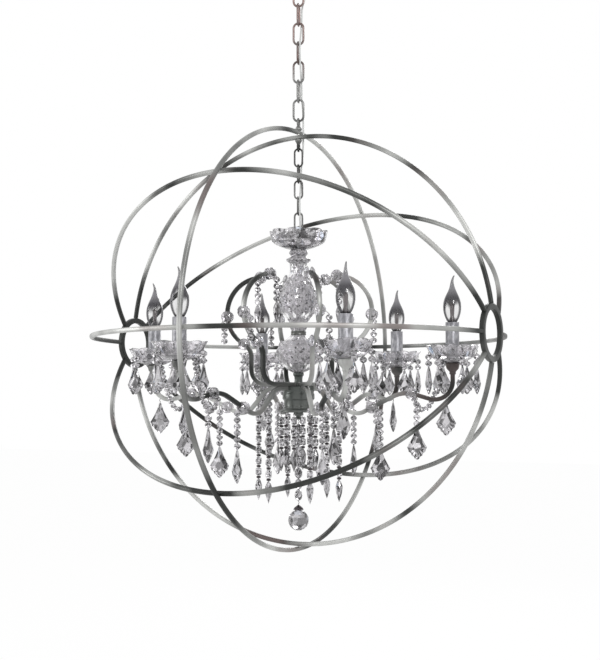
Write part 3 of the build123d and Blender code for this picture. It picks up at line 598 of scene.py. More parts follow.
def bar_tree():
    """A square bar with softened edges along a line of edges."""
    tree = GeometryTree("bar_along_line", Bar_Width="NodeSocketFloat", Edge_Radius="NodeSocketFloat",
                        Finish="NodeSocketMaterial")
    line = tree.node("GeometryNodeMeshToCurve", None, {0: tree.input("Geometry")})
    section = tree.node("GeometryNodeCurvePrimitiveQuadrilateral", {"mode": "RECTANGLE"}, {
        "Width": tree.input("Bar_Width"), "Height": tree.input("Bar_Width")})
    section = tree.node("GeometryNodeFilletCurve", {"mode": "POLY"}, {
        "Curve": section, "Radius": tree.input("Edge_Radius"), "Count": 4})
    bar = tree.node("GeometryNodeCurveToMesh", None, {
        "Curve": line, "Profile Curve": section, "Fill Caps": True})
    bar = tree.node("GeometryNodeSetShadeSmooth", None, {"Geometry": bar, "Shade Smooth": True})
    return tree.finish(bar)


def setting_tree():
    """One piece set at every point, turned and sized by the point's own values."""
    tree = GeometryTree("piece_at_each_point", Piece="NodeSocketObject", Finish="NodeSocketMaterial")
    stone = tree.node("GeometryNodeObjectInfo", None, {"Object": tree.input("Piece")}, out="Geometry")
    turn, size = [tree.node("GeometryNodeInputNamedAttribute", {"data_type": "FLOAT_VECTOR"}, {
        "Name": name}) for name in ("turn", "size")]
    turn = tree.node("FunctionNodeEulerToRotation", None, {0: turn})
    placed = tree.node("GeometryNodeInstanceOnPoints", None, {
        "Points": tree.input("Geometry"), "Instance": stone, "Rotation": turn, "Scale": size})
    return tree.finish(placed)


bars, settings = bar_tree(), setting_tree()


def bar_mesh(name, points, width, edge, finish, closed=False):
    """A square bar through points in millimetres, as a mesh."""
    line = bpy.data.meshes.new(name)
    count = len(points)
    edges = [(k, (k + 1) % count) for k in range(count if closed else count - 1)]
    line.from_pydata([Vector(p) * MM for p in points], edges, [])
    return bars.run(line, name, Bar_Width=width * MM, Edge_Radius=edge * MM, Finish=finish)


def set_out(name, mesh, places):
    """A mesh repeated at every place, where a place is a matrix in millimetres."""
    holder = bpy.data.objects.new(name + "_piece", mesh)
    bpy.context.scene.collection.objects.link(holder)
    spots = bpy.data.meshes.new(name + "_spots")
    spots.from_pydata([m.to_translation() * MM for m in places], [], [])
    for label, values in (("turn", [m.to_euler() for m in places]),
                          ("size", [m.to_scale() for m in places])):
        attribute = spots.attributes.new(label, "FLOAT_VECTOR", "POINT")
        attribute.data.foreach_set("vector", [v for value in values for v in value])
    made = settings.run(spots, name, Piece=holder, Finish=mesh.materials[0])
    bpy.data.objects.remove(holder)
    return made


def piece(name, mesh, body, slot, *nodes):
    """The finished mesh as a piece of the object, riding on its body."""
    made = bpy.data.objects.new(name, mesh)
    bpy.context.scene.collection.objects.link(made)
    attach(made, body)
    if nodes:
        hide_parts(*nodes)


def repeated(name, mesh, places, body, slot, *nodes):
    """A piece of the object that is one mesh at every place."""
    piece(name, set_out(name, mesh, places), body, slot, *nodes)


# ---- cage --------------------------------------------------------------------------------
def arc_points(radius, first, last, steps):
    """Points in the XZ plane round the origin, from one angle in degrees to another."""
    angles = [radians(first + (last - first) * k / steps) for k in range(steps + 1)]
    return [Vector((radius * cos(a), 0, radius * sin(a))) for a in angles]


def cage_hoop():
    """The full upright hoop, across the line through the end rings."""
    hoop = bar_mesh("cage_hoop", arc_points(HOOP_RADIUS, 0, 360, HOOP_STEPS)[:-1], BAR, BAR_EDGE, iron,
                    closed=True)
    hoop.transform(Matrix.Translation(ORB * MM) @ turned(90))
    piece("cage_hoop", hoop, "cage", "silver_iron", "outer_hoop")


def cage_bars():
    """Half bars from one end ring to the other, evenly round the X axis."""
    butt = degrees(asin(END_RING_OD / 2 / HALF_BAR_RADIUS))
    half_bar = bar_mesh("half_bar", arc_points(HALF_BAR_RADIUS, butt, 180 - butt, HALF_BAR_STEPS),
                        BAR, BAR_EDGE, iron)
    round_x = [Matrix.Translation(ORB) @ turned(360 / HALF_BAR_COUNT * k, "X")
               for k in range(HALF_BAR_COUNT)]
    repeated("cage_bars", half_bar, round_x, "cage", "silver_iron", "meridian_bars")


def end_rings():
    """The two open rings that the half bars end in, turned to face along the X axis."""
    outer, inner, half = END_RING_OD / 2, END_RING_ID / 2, END_RING_WIDTH / 2
    section = [(outer - 5, -half), (outer, -half), (outer, half), (inner, half), (inner, -half),
               (outer - 5, -half)]
    ring = lathed(softened(section, 1.2)[:-1], 72, closed=True)
    both = Shape().add(ring, *[Matrix.Translation(ORB + Vector((side * END_RING_REACH, 0, 0)))
                               @ turned(90, "Y") for side in (-1, 1)])
    piece("cage_end_rings", both.mesh("cage_end_rings", iron, 40), "cage", "silver_iron", "oculus_rings")


def cage_rivets():
    """Rivet heads on the hoop over each half bar, but not under the hanger."""
    head = gem([(3.4, 0), (3.2, 0.7), (2.2, 1.4), (0, 1.7)], 12)
    sunk = 1.5
    seat = Matrix.Translation((0, 0, HOOP_RADIUS + BAR / 2 - sunk))
    crossings = [Matrix.Translation(ORB) @ turned(360 / HALF_BAR_COUNT * k, "X") @ seat
                 for k in range(1, HALF_BAR_COUNT)]
    repeated("cage_rivets", head.mesh("rivet", iron, 40), crossings, "cage", "silver_iron")


# ---- chains, loops and canopy ------------------------------------------------------------
def chain_plane(number):
    """The turn of a link, each a quarter turn from its neighbours."""
    return turned(CHAIN_TURN + 90.0 * (number % 2))


def welded_link(name, node, body, size, number):
    """One smooth welded link in the place of its node."""
    middle = (corner(node, 0) + corner(node, 1)) / 2
    wire = rod(link_line(*size), size[2] / 2, 14, closed=True)
    shape = Shape().add(wire, Matrix.Translation(middle) @ chain_plane(number))
    piece(name, shape.mesh(name, chain_iron, 60), body, "silver_iron", node)


def chains():
    """The seven links down to the cage and the five smaller ones inside it."""
    for k, body in enumerate(LINK_BODIES):
        welded_link(f"chain_ring_{k + 1}", f"chain_link_{k + 1}", body, LINK_SIZE, k)
    for k in range(INNER_LINKS):
        body = "fixture" if k else "inner_link"
        welded_link(f"inner_ring_{k + 1}", f"inner_link_{k + 1}", body, INNER_LINK_SIZE, k)


def eye_loop(name, node, body, eye_up, boss):
    """A ring eye on a turned boss, whose profile runs from its seat, where z is nothing."""
    low, high = ends(node)
    eye_middle, seat = (high - EYE_OD / 2, low) if eye_up else (low + EYE_OD / 2, high)
    eye = rod(link_line(EYE_OD, EYE_OD, EYE_WIRE, 18), EYE_WIRE / 2, 14, closed=True)
    shape = Shape().add(eye, Matrix.Translation((0, 0, eye_middle)) @ chain_plane(1))
    profile = [(r, seat + z if eye_up else seat - z) for r, z in boss]
    shape.add(lathed(softened(profile, 1.0), 40))
    piece(name, shape.mesh(name, iron, 40), body, "silver_iron", node)


def eye_loops():
    """The four loops that the chains hang from and hold."""
    canopy_boss = [(0, 0), (10.0, 0), (10.0, 3), (8.2, 5), (4.2, 8), (0, 8)]
    hanger_boss = [(0, 0), (6.7, 0), (6.7, 3), (5.2, 5), (4.0, 8), (0, 8)]
    column_boss = [(0, 0), (13.0, 0), (13.0, 4), (10.5, 6), (6.7, 7.5), (5.6, 12), (6.7, 16), (4.2, 20),
                   (0, 20)]
    eye_loop("canopy_hanging_loop", "canopy_loop", "root", False, canopy_boss)
    eye_loop("cage_top_loop", "hanger_top_loop", "cage", True, hanger_boss)
    eye_loop("cage_bottom_loop", "hanger_bottom_loop", "cage", False, hanger_boss)
    eye_loop("column_top_loop", "column_loop", "fixture", True, column_boss)


def canopy_shell():
    """The spun canopy: a flat middle, a round side and a rolled lip at the ceiling."""
    wide, high = CANOPY_RADIUS - CANOPY_FLAT, -CANOPY_LIP - CANOPY_LOW
    curve = (wide**2 + high**2) / (2 * high)
    sweep = asin(wide / curve)
    start = 0.02     # radians up the curve, past the flat's own edge

    def side(inset, first, last):
        """Points up the spun curve between two angles, inside the skin by the inset."""
        steps = [first + (last - first) * k / 14 for k in range(15)]
        reach = curve - inset
        return [(CANOPY_FLAT + reach * sin(a), CANOPY_LOW + curve - reach * cos(a)) for a in steps]

    inside = CANOPY_RADIUS - CANOPY_WALL
    skin = [(CANOPY_BORE, CANOPY_LOW), (CANOPY_FLAT, CANOPY_LOW)] + side(0, start, sweep)
    skin += [(CANOPY_RADIUS, -CANOPY_WALL), (CANOPY_RADIUS - 0.6, 0), (inside, 0), (inside, -CANOPY_LIP)]
    skin += side(CANOPY_WALL, sweep, start)
    skin += [(CANOPY_FLAT, CANOPY_LOW + CANOPY_WALL), (CANOPY_BORE, CANOPY_LOW + CANOPY_WALL)]
    piece("canopy_shell", lathed(skin, 72, closed=True).mesh("canopy_shell", iron, 40), "root",
          "silver_iron", "canopy")


def inner_hardware():
    """The small parts that show as the frame has them, with their own finishes."""
    for node, finish in (("ceiling_strap", plated), ("canopy_nipple", plated), ("wire_bushing", insulator),
                         ("hanger_stud", plated), ("centre_tube", plated), ("lamp_sockets", insulator)):
        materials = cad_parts[node].data.materials
        materials.clear()
        materials.append(finish)


# ---- centre column -----------------------------------------------------------------------
def cut_dish(foot, rim, foot_radius, radius, wall, floor, lobes, scallop, hip, hip_height, flare):
    """A cut-glass dish: crossed cuts outside, a smooth inside, and a lobed, wavy rim.

    Its side goes out from the foot to the hip, a share of the radius at a share of the height.
    """
    sides = lobes * 8
    tall = rim - foot
    cut_depth = 1.1

    def wave(k, depth):
        return depth * (1 - abs(sin(pi * k * lobes / sides)))

    def ring(r, z, k, cut):
        points = []
        for i in range(sides):
            angle = 2 * pi * i / sides
            crossing = abs(((i / 4 + k / 2) % 2) - 1) + abs(((i / 4 - k / 2) % 2) - 1)
            share = (z - foot) / tall
            reach = r - wave(i, scallop) * share**1.5 - cut * abs(crossing - 1)
            drop = wave(i, 0.07 * tall) * (share > 0.97)
            points.append((reach * cos(angle), reach * sin(angle), z - drop))
        return points

    def outer(share):
        if share < hip_height:
            return foot_radius + (hip * radius - foot_radius) * sin(pi / 2 * share / hip_height) ** 0.9
        return hip * radius + (1 - hip) * radius * ((share - hip_height) / (1 - hip_height)) ** flare

    rings = []
    for k in range(11):
        share = k / 10
        rings.append(ring(outer(share), foot + share * tall, k, cut_depth if 0 < k < 10 else 0))
    for k in range(8):
        z = foot + floor + (1 - k / 7) * (tall - floor)
        rings.append(ring(max(outer((z - foot) / tall) - wall, TUBE + 6), z, 0, 0))
    rings += [ring_of(TUBE, foot + floor, sides), ring_of(TUBE, foot, sides)]
    return lofted(rings, closed=True)


def top_bowl():
    """The shallow lobed bowl at the head of the column."""
    low, high = ends("top_bowl")
    bowl = cut_dish(low, high - 5.0, foot_radius=18.5, radius=57.0, wall=4.5, floor=6.0, lobes=8,
                    scallop=5.0, hip=0.93, hip_height=0.5, flare=0.6)
    piece("cut_top_bowl", bowl.mesh("cut_top_bowl", smoky_glass, 18), "fixture", "cut_glass", "top_bowl")


def diamonds(low, high, outline, rows, around, proud):
    """A bored glass body covered in small pyramids between crossed cuts."""
    def radius(share):
        for (s0, r0), (s1, r1) in zip(outline, outline[1:]):
            if share <= s1:
                t = (share - s0) / (s1 - s0)
                t = t * t * (3 - 2 * t)
                return r0 + (r1 - r0) * t
        return outline[-1][1]

    def spot(turn, share, reach):
        angle = 2 * pi * turn / around
        r = radius(share) + reach
        return Vector((r * cos(angle), r * sin(angle), low + share * (high - low)))

    rings = [ring_of(TUBE, low, around)]
    for k in range(rows + 1):
        share = k / rows
        rings.append(ring_of(radius(share), low + share * (high - low), around, 0.5 * (k % 2)))
    rings.append(ring_of(TUBE, high, around))
    body = lofted(rings)
    step, lift = 0.98 / rows, 0.1
    for k in range(1, rows):
        share = k / rows
        for i in range(around):
            turn = i + 0.5 * (k % 2)
            first = len(body.points)
            body.points += [spot(turn + 0.5, share, lift), spot(turn, share + step, lift),
                            spot(turn - 0.5, share, lift), spot(turn, share - step, lift),
                            spot(turn, share, proud)]
            body.faces += [[first + a, first + (a + 1) % 4, first + 4] for a in range(4)]
            body.faces.append([first + 3, first + 2, first + 1, first])
    return body


def column_glasses():
    """The cut-glass bodies, each from its outline of (share of height, radius) points."""
    vase = [(0, 13), (0.05, 15.5), (0.12, 15), (0.2, 23), (0.3, 34), (0.42, 37.2), (0.56, 34), (0.72, 25),
            (0.86, 16.5), (0.93, 15), (1, 17)]
    ball = [(0, 11), (0.1, 22), (0.3, 38), (0.52, 43.6), (0.75, 37), (0.94, 19), (1, 15)]
    upper_collar = [(0, 13.5), (0.45, 18.2), (1, 14.6)]
    lower_collar = [(0, 16.5), (0.4, 23.4), (0.6, 23.4), (1, 13.8)]
    for name, node, outline, rows, around, proud in (
            ("cut_vase", "vase_glass", vase, 18, 18, 1.2),
            ("cut_ball", "ball_glass", ball, 12, 20, 1.4),
            ("upper_collar", "collar_glass_upper", upper_collar, 5, 16, 0.6),
            ("lower_collar", "collar_glass_lower", lower_collar, 5, 20, 0.6)):
        glass = diamonds(*ends(node), outline, rows, around, proud)
        piece(name, glass.mesh(name, column_glass, 18), "fixture", "cut_glass", node)


def turning(name, node, profile, soften, sides):
    """A turned piece of the column in the place of its node."""
    shape = lathed(softened(profile, soften), sides)
    piece(name, shape.mesh(name, hub_metal, 40), "fixture", "dark_metal", node)


def column_turnings():
    """The ring, collar, hub and finial of dark metal, from the top down."""
    low, high = ends("metal_ring")
    turning("column_ring", "metal_ring", [
        (TUBE, low), (14.2, low), (15.0, low + 1), (14.4, (low + high) / 2), (15.0, high - 1),
        (14.2, high), (TUBE, high)], 0.6, 48)
    low, high = ends("stem_collar")
    turning("stem_turning", "stem_collar", [
        (TUBE, low), (10.4, low), (10.4, low + 4), (8.2, low + 7), (7.6, (low + high) / 2),
        (8.2, high - 8), (10.4, high - 5), (10.4, high - 1), (9.4, high), (TUBE, high)], 1.0, 40)
    foot, top = HUB_FOOT, HUB_TOP
    turning("hub_turning", "hub_cup", [
        (TUBE, top), (29.5, top), (31.0, top - 1.5), (31.0, top - 8), (29.6, top - 10),
        (29.6, top - 13), (31.0, top - 15), (31.0, top - 24), (28.2, top - 27), (28.0, foot + 12),
        (29.5, foot + 10), (30.0, foot + 8), (36.4, foot + 4), (37.0, foot + 2), (36.4, foot),
        (TUBE, foot)], 0.9, 64)
    turning("finial_turning", "hub_finial", [
        (0, foot), (9.0, foot), (9.0, foot - 4), (7.0, foot - 6), (4.6, foot - 8), (5.6, foot - 11),
        (5.2, FINIAL_FOOT), (0, FINIAL_FOOT)], 0.8, 40)


# ---- arms and scrolls --------------------------------------------------------------------
SCROLL_SWEEP = (70.0, 153.0)     # the wide bend that ends each scroll
arm_line = rounded_line([
    (31.0, ARM_LINE), (62.0, ARM_LINE), (108.0, ARM_LINE - 55.0), (205.0, ARM_LINE - 5.0),
    (CANDLE_CIRCLE, ARM_LINE - 33.0), (CANDLE_CIRCLE, ARM_TIP)], [24.0, 30.0, 60.0, 34.0])
scroll_line = bent_line((10.55, SCROLL_LINE), [
    (54.45,), (30.0, 90.0), (23.0,), (30.0, -60.0), SCROLL_SWEEP])
scroll_sweep = scroll_line[-len(bent_line((0, 0), [SCROLL_SWEEP])):]
arm_spots = [along(arm_line, share) for share in (0.41, 0.66)]
scroll_spots = [along(scroll_sweep, share) for share in (0.0, 0.36, 0.97)]


def arms_and_scrolls():
    """Six S-curved arms out to the candles, and a curled scroll over each."""
    for name, node, line in (("curved_arms", "arms", arm_line),
                             ("curled_scrolls", "upper_scrolls", scroll_line)):
        bar = bar_mesh(name + "_bar", line, ARM_BAR, ARM_EDGE, iron)
        repeated(name, bar, on_arms(), "fixture", "silver_iron", node)


def arm_under(reach):
    """Height of the arm's lower face this far from the centre."""
    for a, b in zip(arm_line, arm_line[1:]):
        if a.x <= reach < b.x:
            slope = (b.z - a.z) / (b.x - a.x)
            return a.z + slope * (reach - a.x) - ARM_BAR / 2 * sqrt(1 + slope**2)


# ---- candles -----------------------------------------------------------------------------
def candle_cups():
    """The turned cups on the arms' tips, under the dishes."""
    low, high = ARM_TIP, DISH_FOOT
    cup = [(0, low), (5.4, low), (6.4, low + 2), (5.6, low + 4.5), (8.0, low + 7.5), (11.4, low + 11),
           (13.0, high - 4), (13.0, high - 1.5), (12.0, high), (0, high)]
    mesh = lathed(softened(cup, 1.0), 32).mesh("candle_cup", iron, 40)
    repeated("candle_cup_turnings", mesh, on_arms(ON_CANDLE), "fixture", "silver_iron", "candle_cups")


def candle_dishes():
    """A lobed cut-glass dish under each candle."""
    dish = cut_dish(DISH_FOOT, DISH_RIM, DISH_FOOT_RADIUS, DISH_RADIUS, wall=4.0, floor=5.0, lobes=10,
                    scallop=4.0, hip=0.8, hip_height=0.42, flare=1.0)
    mesh = dish.mesh("candle_dish", pressed_glass, 18)
    repeated("cut_candle_dishes", mesh, on_arms(ON_CANDLE), "fixture", "cut_glass", "bobeches")


def candle_covers():
    """The tubes that stand for wax candles, open at the top round the lamp sockets."""
    inside, outside, top = 11.6, 12.75, SLEEVE_TOP
    sleeve = [(inside, SLEEVE_FOOT), (outside, SLEEVE_FOOT), (outside, top - 0.5), (12.3, top), (11.9, top),
              (inside, top - 0.5)]
    mesh = lathed(sleeve, 40, closed=True).mesh("candle_cover", cover_skin, 50)
    repeated("candle_covers", mesh, on_arms(ON_CANDLE), "fixture", "candle_cover", "candle_sleeves")


# The flame of a bulb, as (share of height, radius, lean of the tip).
FLAME = [(0, 5.6, 0), (0.19, 5.7, 0), (0.215, 8.0, 0), (0.25, 10.8, 0), (0.30, 13.4, 0), (0.36, 15.6, 0),
         (0.42, 16.8, 0), (0.48, 17.0, 0), (0.54, 16.4, 0), (0.60, 14.6, 0), (0.66, 11.8, 0.1),
         (0.71, 9.0, 0.25), (0.76, 6.4, 0.35), (0.81, 4.6, 0.2), (0.86, 3.2, 0.1), (0.91, 2.3, 0.6),
         (0.95, 1.8, 2.0), (0.98, 1.4, 3.6), (1.0, 0, 4.6)]


def flame_glass():
    return lofted([ring_of(r, BULB_FOOT + share * BULB_HEIGHT, 32, lean=lean) for share, r, lean in FLAME])


def bulb_cap():
    """The screw cap, with its thread as ridges."""
    thread = [(5.9 if i % 2 else 5.5, 4 + i * 1.5) for i in range(10)]
    cap = [(0, 0.1), (3.0, 0.2), (5.9, 3)] + thread + [(5.95, 21), (6.6, 23.5), (0, 23.6)]
    return lathed([(r, BULB_FOOT + up) for r, up in cap], 24)


def bulb_stem():
    """The glass stem inside the bulb, with the two posts that hold its filament."""
    stem = [(0, 23.7), (6.0, 23.7), (5.2, 30), (3.6, 36), (4.2, 46), (4.6, 56), (3.0, 61), (0, 62)]
    shape = lathed([(r, BULB_FOOT + up) for r, up in stem], 20)
    for side in (-1, 1):
        shape.add(pin((side * 1.2, 0, BULB_FOOT + 49), (side * 5.5, 0, BULB_FOOT + 60),
                      (side * 3.0, 0, BULB_FOOT + 72)))
    return shape


def bulbs():
    """Six flame-tip bulbs, each in three pieces that come out together."""
    for k, place in enumerate(on_arms(ON_CANDLE)):
        for ending, shape, finish, sharp, nodes in (
                ("", flame_glass(), lamp_glass, 60, [f"bulb_{k + 1}"]),
                ("_cap", bulb_cap(), cap_metal, 40, []),
                ("_stem", bulb_stem(), inner_glass, 40, [])):
            name = f"flame_bulb_{k + 1}{ending}"
            mesh = Shape().add(shape, place).mesh(name, finish, sharp)
            piece(name, mesh, f"lamp_{k + 1}", "bulb_glass", *nodes)


# ---- crystal -----------------------------------------------------------------------------
def rosettes():
    """Facetted buttons on both faces of the arms and scrolls."""
    button = gem([(11.5, 0), (11.3, 1.8), (8.2, 4.6), (4.4, 6.6), (0, 7.0)], 10)
    places = []
    for spot in arm_spots + scroll_spots:
        for side in (-1, 1):
            face = Matrix.Translation((spot.x, side * ARM_BAR / 2, spot.z)) @ turned(-90 * side, "X")
            places += on_arms(face)
    repeated("rosette_crystals", button.mesh("rosette", pale_crystal, 0), places, "fixture", "crystal",
             "crystal_rosettes")


def kite(width, length, thick=10.0):
    """A flat pendant: a lobed leaf with bevelled edges round a plain table, front and back."""
    half_edge = [(0.0, 0.0), (0.12, 0.03), (0.19, 0.12), (0.42, 0.30), (0.72, 0.48), (1.0, 0.62),
                 (0.88, 0.68), (0.83, 0.75), (0.60, 0.79), (0.52, 0.86), (0.30, 0.90), (0.22, 0.955),
                 (0.0, 1.0)]
    right = [(x * width / 2, -z * length) for x, z in half_edge]
    edge = right + [(-x, z) for x, z in reversed(right[1:-1])]
    heart = Vector((0, 0, -0.62 * length))

    def layer(share, y):
        return [heart + (Vector((x, 0, z)) - heart) * share + Vector((0, y, 0)) for x, z in edge]

    front = [(0.46, thick / 2), (0.8, thick * 0.3), (1.0, 0.9)]
    return lofted([layer(*spot) for spot in front] + [layer(share, -y) for share, y in reversed(front)])


# The stones, each with its shape, finish and length, hanging down from its top at nothing.
HOOK = pin((0, 0, 0), (0, 0, -1.5), (1.3, 0, -2.6), (1.3, 0, -4.2), (0, 0, -5.4), (0, 0, -8.0))
BEAD = gem([(1.4, 0), (4.8, -2.2), (6.5, -4.6), (6.5, -7.4), (4.8, -9.8), (1.4, -12.0)], 8)
BAR_STONE = gem([(2.2, -0.4), (5.6, -1.9), (6.0, -5.4), (6.0, -10.1), (5.6, -13.6), (2.2, -15.1)], 6)
SPACER = lathed([(1.8, -0.2), (4.3, -1.0), (4.3, -4.5), (1.8, -5.3)], 6)
SPEAR = gem([(1.0, 0), (3.6, -3.0), (6.6, -11.0), (7.0, -14.5), (5.8, -24.0), (3.4, -33.0), (0, -42.0)], 8)
CENTRE_BEAD = gem([(1.6, 0), (5.2, -2.4), (7.4, -7.0), (7.5, -10.5), (7.4, -14.0), (5.2, -18.6),
                   (1.6, -21.0)], 8)
RONDELLE_LENGTH = 9.0
RONDELLE = gem([(1.4, 0), (5.0, -1.6), (6.0, -3.4), (6.0, -5.6), (5.0, -7.4), (1.4, -RONDELLE_LENGTH)], 8)
STONES = {
    "hook": (HOOK, pin_metal, 8.0),
    "bead": (BEAD, crystal, 12.0),
    "bar": (BAR_STONE, crystal, 15.5),
    "spacer": (SPACER, pin_metal, 5.5),
    "spear": (SPEAR, plate_crystal, 42.0),
    "centre": (CENTRE_BEAD, crystal, 21.0),
    "kite": (kite(38.0, 62.0), plate_crystal, 62.0),
    "dish_kite": (kite(32.0, 52.0), plate_crystal, 52.0),
}
SPUN_STONES, STONE_SPIN = ("bead", "bar", "spacer", "centre"), 31.0     # degrees from stone to stone


class Strands:
    """Stones gathered by kind, each with the places it hangs at, until they are set out."""

    def __init__(self, name, node, body="fixture"):
        self.name, self.node, self.body, self.stones = name, node, body, {}

    def hang(self, label, shape, finish, place=Matrix()):
        self.stones.setdefault(label, (shape, finish, []))[2].append(place)

    def string(self, top, units, turn=0.0):
        """Stones hung one below another from a point, and the point below the last."""
        point = Vector(top)
        for label, count in units:
            shape, finish, length = STONES[label]
            for number in range(count):
                spin = turn + STONE_SPIN * number if label in SPUN_STONES else turn
                self.hang(label, shape, finish, Matrix.Translation(point) @ turned(spin))
                point = point - Vector((0, 0, length))
        return point

    def finish(self, every_arm=True):
        """The piece of the object that all these stones make."""
        meshes = []
        for label, (shape, finish, places) in self.stones.items():
            spots = [m for place in places for m in on_arms(place)] if every_arm else places
            meshes.append(set_out(f"{self.name}_{label}", shape.mesh(label, finish, 0), spots))
        joined = meshes[0] if len(meshes) == 1 else merged(self.name, meshes)
        joined.name = self.name
        piece(self.name, joined, self.body, "crystal", self.node)


def merged(name, meshes):
    """Several meshes as one, each keeping its finish."""
    made = bpy.data.meshes.new(name)
    work = bmesh.new()
    finishes = []
    for mesh in meshes:
        first = len(work.faces)
        work.from_mesh(mesh)
        work.faces.ensure_lookup_table()
        if mesh.materials[0] not in finishes:
            finishes.append(mesh.materials[0])
        for face in work.faces[first:]:
            face.material_index = finishes.index(mesh.materials[0])
    work.to_mesh(made)
    work.free()
    for finish in finishes:
        made.materials.append(finish)
    return made


def dish_under(reach):
    """Height of a candle dish's outer face this far from its candle."""
    corners = [(DISH_FOOT_RADIUS, 0), (0.70 * DISH_RADIUS, 0.42 * DISH_HEIGHT), (DISH_RADIUS, DISH_HEIGHT)]
    near, far = corners[:2] if reach < corners[1][0] else corners[1:]
    return DISH_FOOT + near[1] + (far[1] - near[1]) * (reach - near[0]) / (far[0] - near[0])


def dish_pendants():
    """Six hooks, pairs of beads and kites round each candle dish."""
    drops = Strands("dish_pendants", "bobeche_drops")
    for k in range(DROP_COUNT):
        angle = 360.0 / DROP_COUNT * k
        hole = (CANDLE_CIRCLE + DROP_CIRCLE * cos(radians(angle)), DROP_CIRCLE * sin(radians(angle)),
                dish_under(DROP_CIRCLE) - TOUCH)
        low = drops.string(hole, [("hook", 1), ("bead", 2)])
        twist = 24.0 if k % 2 else -16.0
        drops.string(low, [("dish_kite", 1)], angle + 90 + twist)
    drops.finish()


def arm_pendants():
    """Three kites under each arm, the inner two on strings of beads."""
    drops = Strands("arm_pendants", "arm_drops")
    for reach, beads in ((285.0, 0), (230.0, 4), (160.0, 6)):
        low = drops.string((reach, 0, arm_under(reach)), [("hook", 1), ("bead", beads)])
        drops.string(low, [("kite", 1)], 20.0)
    drops.finish()


def scroll_pendants():
    """Beads hung from pins in two rosettes of each scroll, the upper one with a spear."""
    drops = Strands("scroll_pendants", "scroll_drops")
    for spot, ending in ((scroll_spots[2], [("spear", 1)]), (scroll_spots[1], [])):
        held = Vector((spot.x, ROSETTE_FACE + 7.0, spot.z - 7.0))
        drops.string(held, [("bead", 4)] + ending)
        drops.hang(f"pin_{len(ending)}", pin((spot.x, ROSETTE_FACE - 1, spot.z), held), pin_metal)
    drops.finish()


def swag_knots(start, end, sag):
    """Points a rondelle apart along a swag that sags to a quarter of this between its ends."""
    shares = [k / 200 for k in range(201)]
    fine = [start + (end - start) * s - Vector((0, 0, sag * s * (1 - s))) for s in shares]
    runs = [0.0]
    for a, b in zip(fine, fine[1:]):
        runs.append(runs[-1] + (b - a).length)
    count = round(runs[-1] / RONDELLE_LENGTH)
    wanted = [runs[-1] * k / count for k in range(count + 1)]
    return [fine[min(range(201), key=lambda i: abs(runs[i] - want))] for want in wanted]


def bead_swags():
    """Rondelles strung from the outer rosette of each arm to the candle dish."""
    inset, beside = 20.0, ROSETTE_FACE + 6.0
    start = Vector((CANDLE_CIRCLE - inset, beside, dish_under(hypot(inset, beside)) - TOUCH))
    end = Vector((arm_spots[1].x, beside, arm_spots[1].z - 6.0))
    swags = Strands("bead_swags", "festoons")
    knots = swag_knots(start, end, sag=220.0)
    for a, b in zip(knots, knots[1:]):
        lie = (a - b).to_track_quat("Z", "X").to_matrix().to_4x4()
        size = Matrix.Diagonal((0.9, 0.9, (b - a).length / RONDELLE_LENGTH, 1))
        swags.hang("rondelle", RONDELLE, crystal, Matrix.Translation(a) @ lie @ size)
    swags.hang("pin", pin((arm_spots[1].x, ROSETTE_FACE - 1, arm_spots[1].z), end), pin_metal)
    swags.finish()


def long_strands():
    """Strings of bars and spacers under the hub, one to each arm, that swing by themselves."""
    for k, angle in enumerate(ARM_TURNS):
        strand = Strands(f"long_strand_{k + 1}", f"hub_strand_{k + 1}", f"strand_{k + 1}")
        top = turned(angle).to_3x3() @ Vector((STRAND_CIRCLE, 0, 0))
        top.z = ends(f"hub_strand_{k + 1}")[1]
        strand.string(top, [("hook", 1), ("bead", 1)] + [("bar", 1), ("spacer", 1)] * 6 + [("spear", 1)],
                      angle)
        strand.finish(every_arm=False)


def short_strands():
    """Six short strings of bars and spacers round the finial, between the arms."""
    strands = Strands("short_strands", "inner_strands")
    between_arms = turned(30).to_3x3() @ Vector((SHORT_STRAND_CIRCLE, 0, HUB_FOOT))
    strands.string(between_arms, [("hook", 1)] + [("bar", 1), ("spacer", 1)] * 3 + [("spear", 1)])
    strands.finish()


def centre_string():
    """Seven long beads, a fluted cap and the cut ball, under the finial."""
    string = Strands("centre_string", "centre_drop", "centre_drop_body")
    low = string.string((0, 0, FINIAL_FOOT - TOUCH), [("hook", 1), ("centre", 7), ("hook", 1)])
    cap_height, sides, flutes = 9.0, 24, (0, 0.6, 1, 0.6)
    rings = [ring_of(1.5, low.z, sides)]
    for share, r in ((0.25, 4.5), (0.55, 8.5), (0.85, 10.4), (1.0, 11.0)):
        reaches = [r - 1.4 * share * flutes[k % 4] for k in range(sides)]
        rings.append([(reach * cos(2 * pi * k / sides), reach * sin(2 * pi * k / sides),
                       low.z - cap_height * share) for k, reach in enumerate(reaches)])
    string.hang("cap", lofted(rings), pin_metal)
    radius, band = 20.0, 18
    ball = [(0.0, 0.0)] + [(radius * sin(radians(a)), -radius + radius * cos(radians(a)))
                           for a in range(band, 180, band)] + [(0.0, -2 * radius)]
    string.hang("ball", gem(ball, 14), ball_crystal, Matrix.Translation((0, 0, low.z - cap_height)))
    string.finish(every_arm=False)


# ---- lamp wire ---------------------------------------------------------------------------
WIRE_RADIUS, BLEND_REACH = 1.75, 9.0
HANGER_EYE = ends("hanger_top_loop")[1] - EYE_OD / 2
LOWER_EYE, LOWER_SEAT = ends("hanger_bottom_loop")[0] + EYE_OD / 2, ends("hanger_bottom_loop")[1]
FLANGE_TOP = ends("column_loop")[0] + 6.0


def link_middle(node):
    return sum(ends(node)) / 2


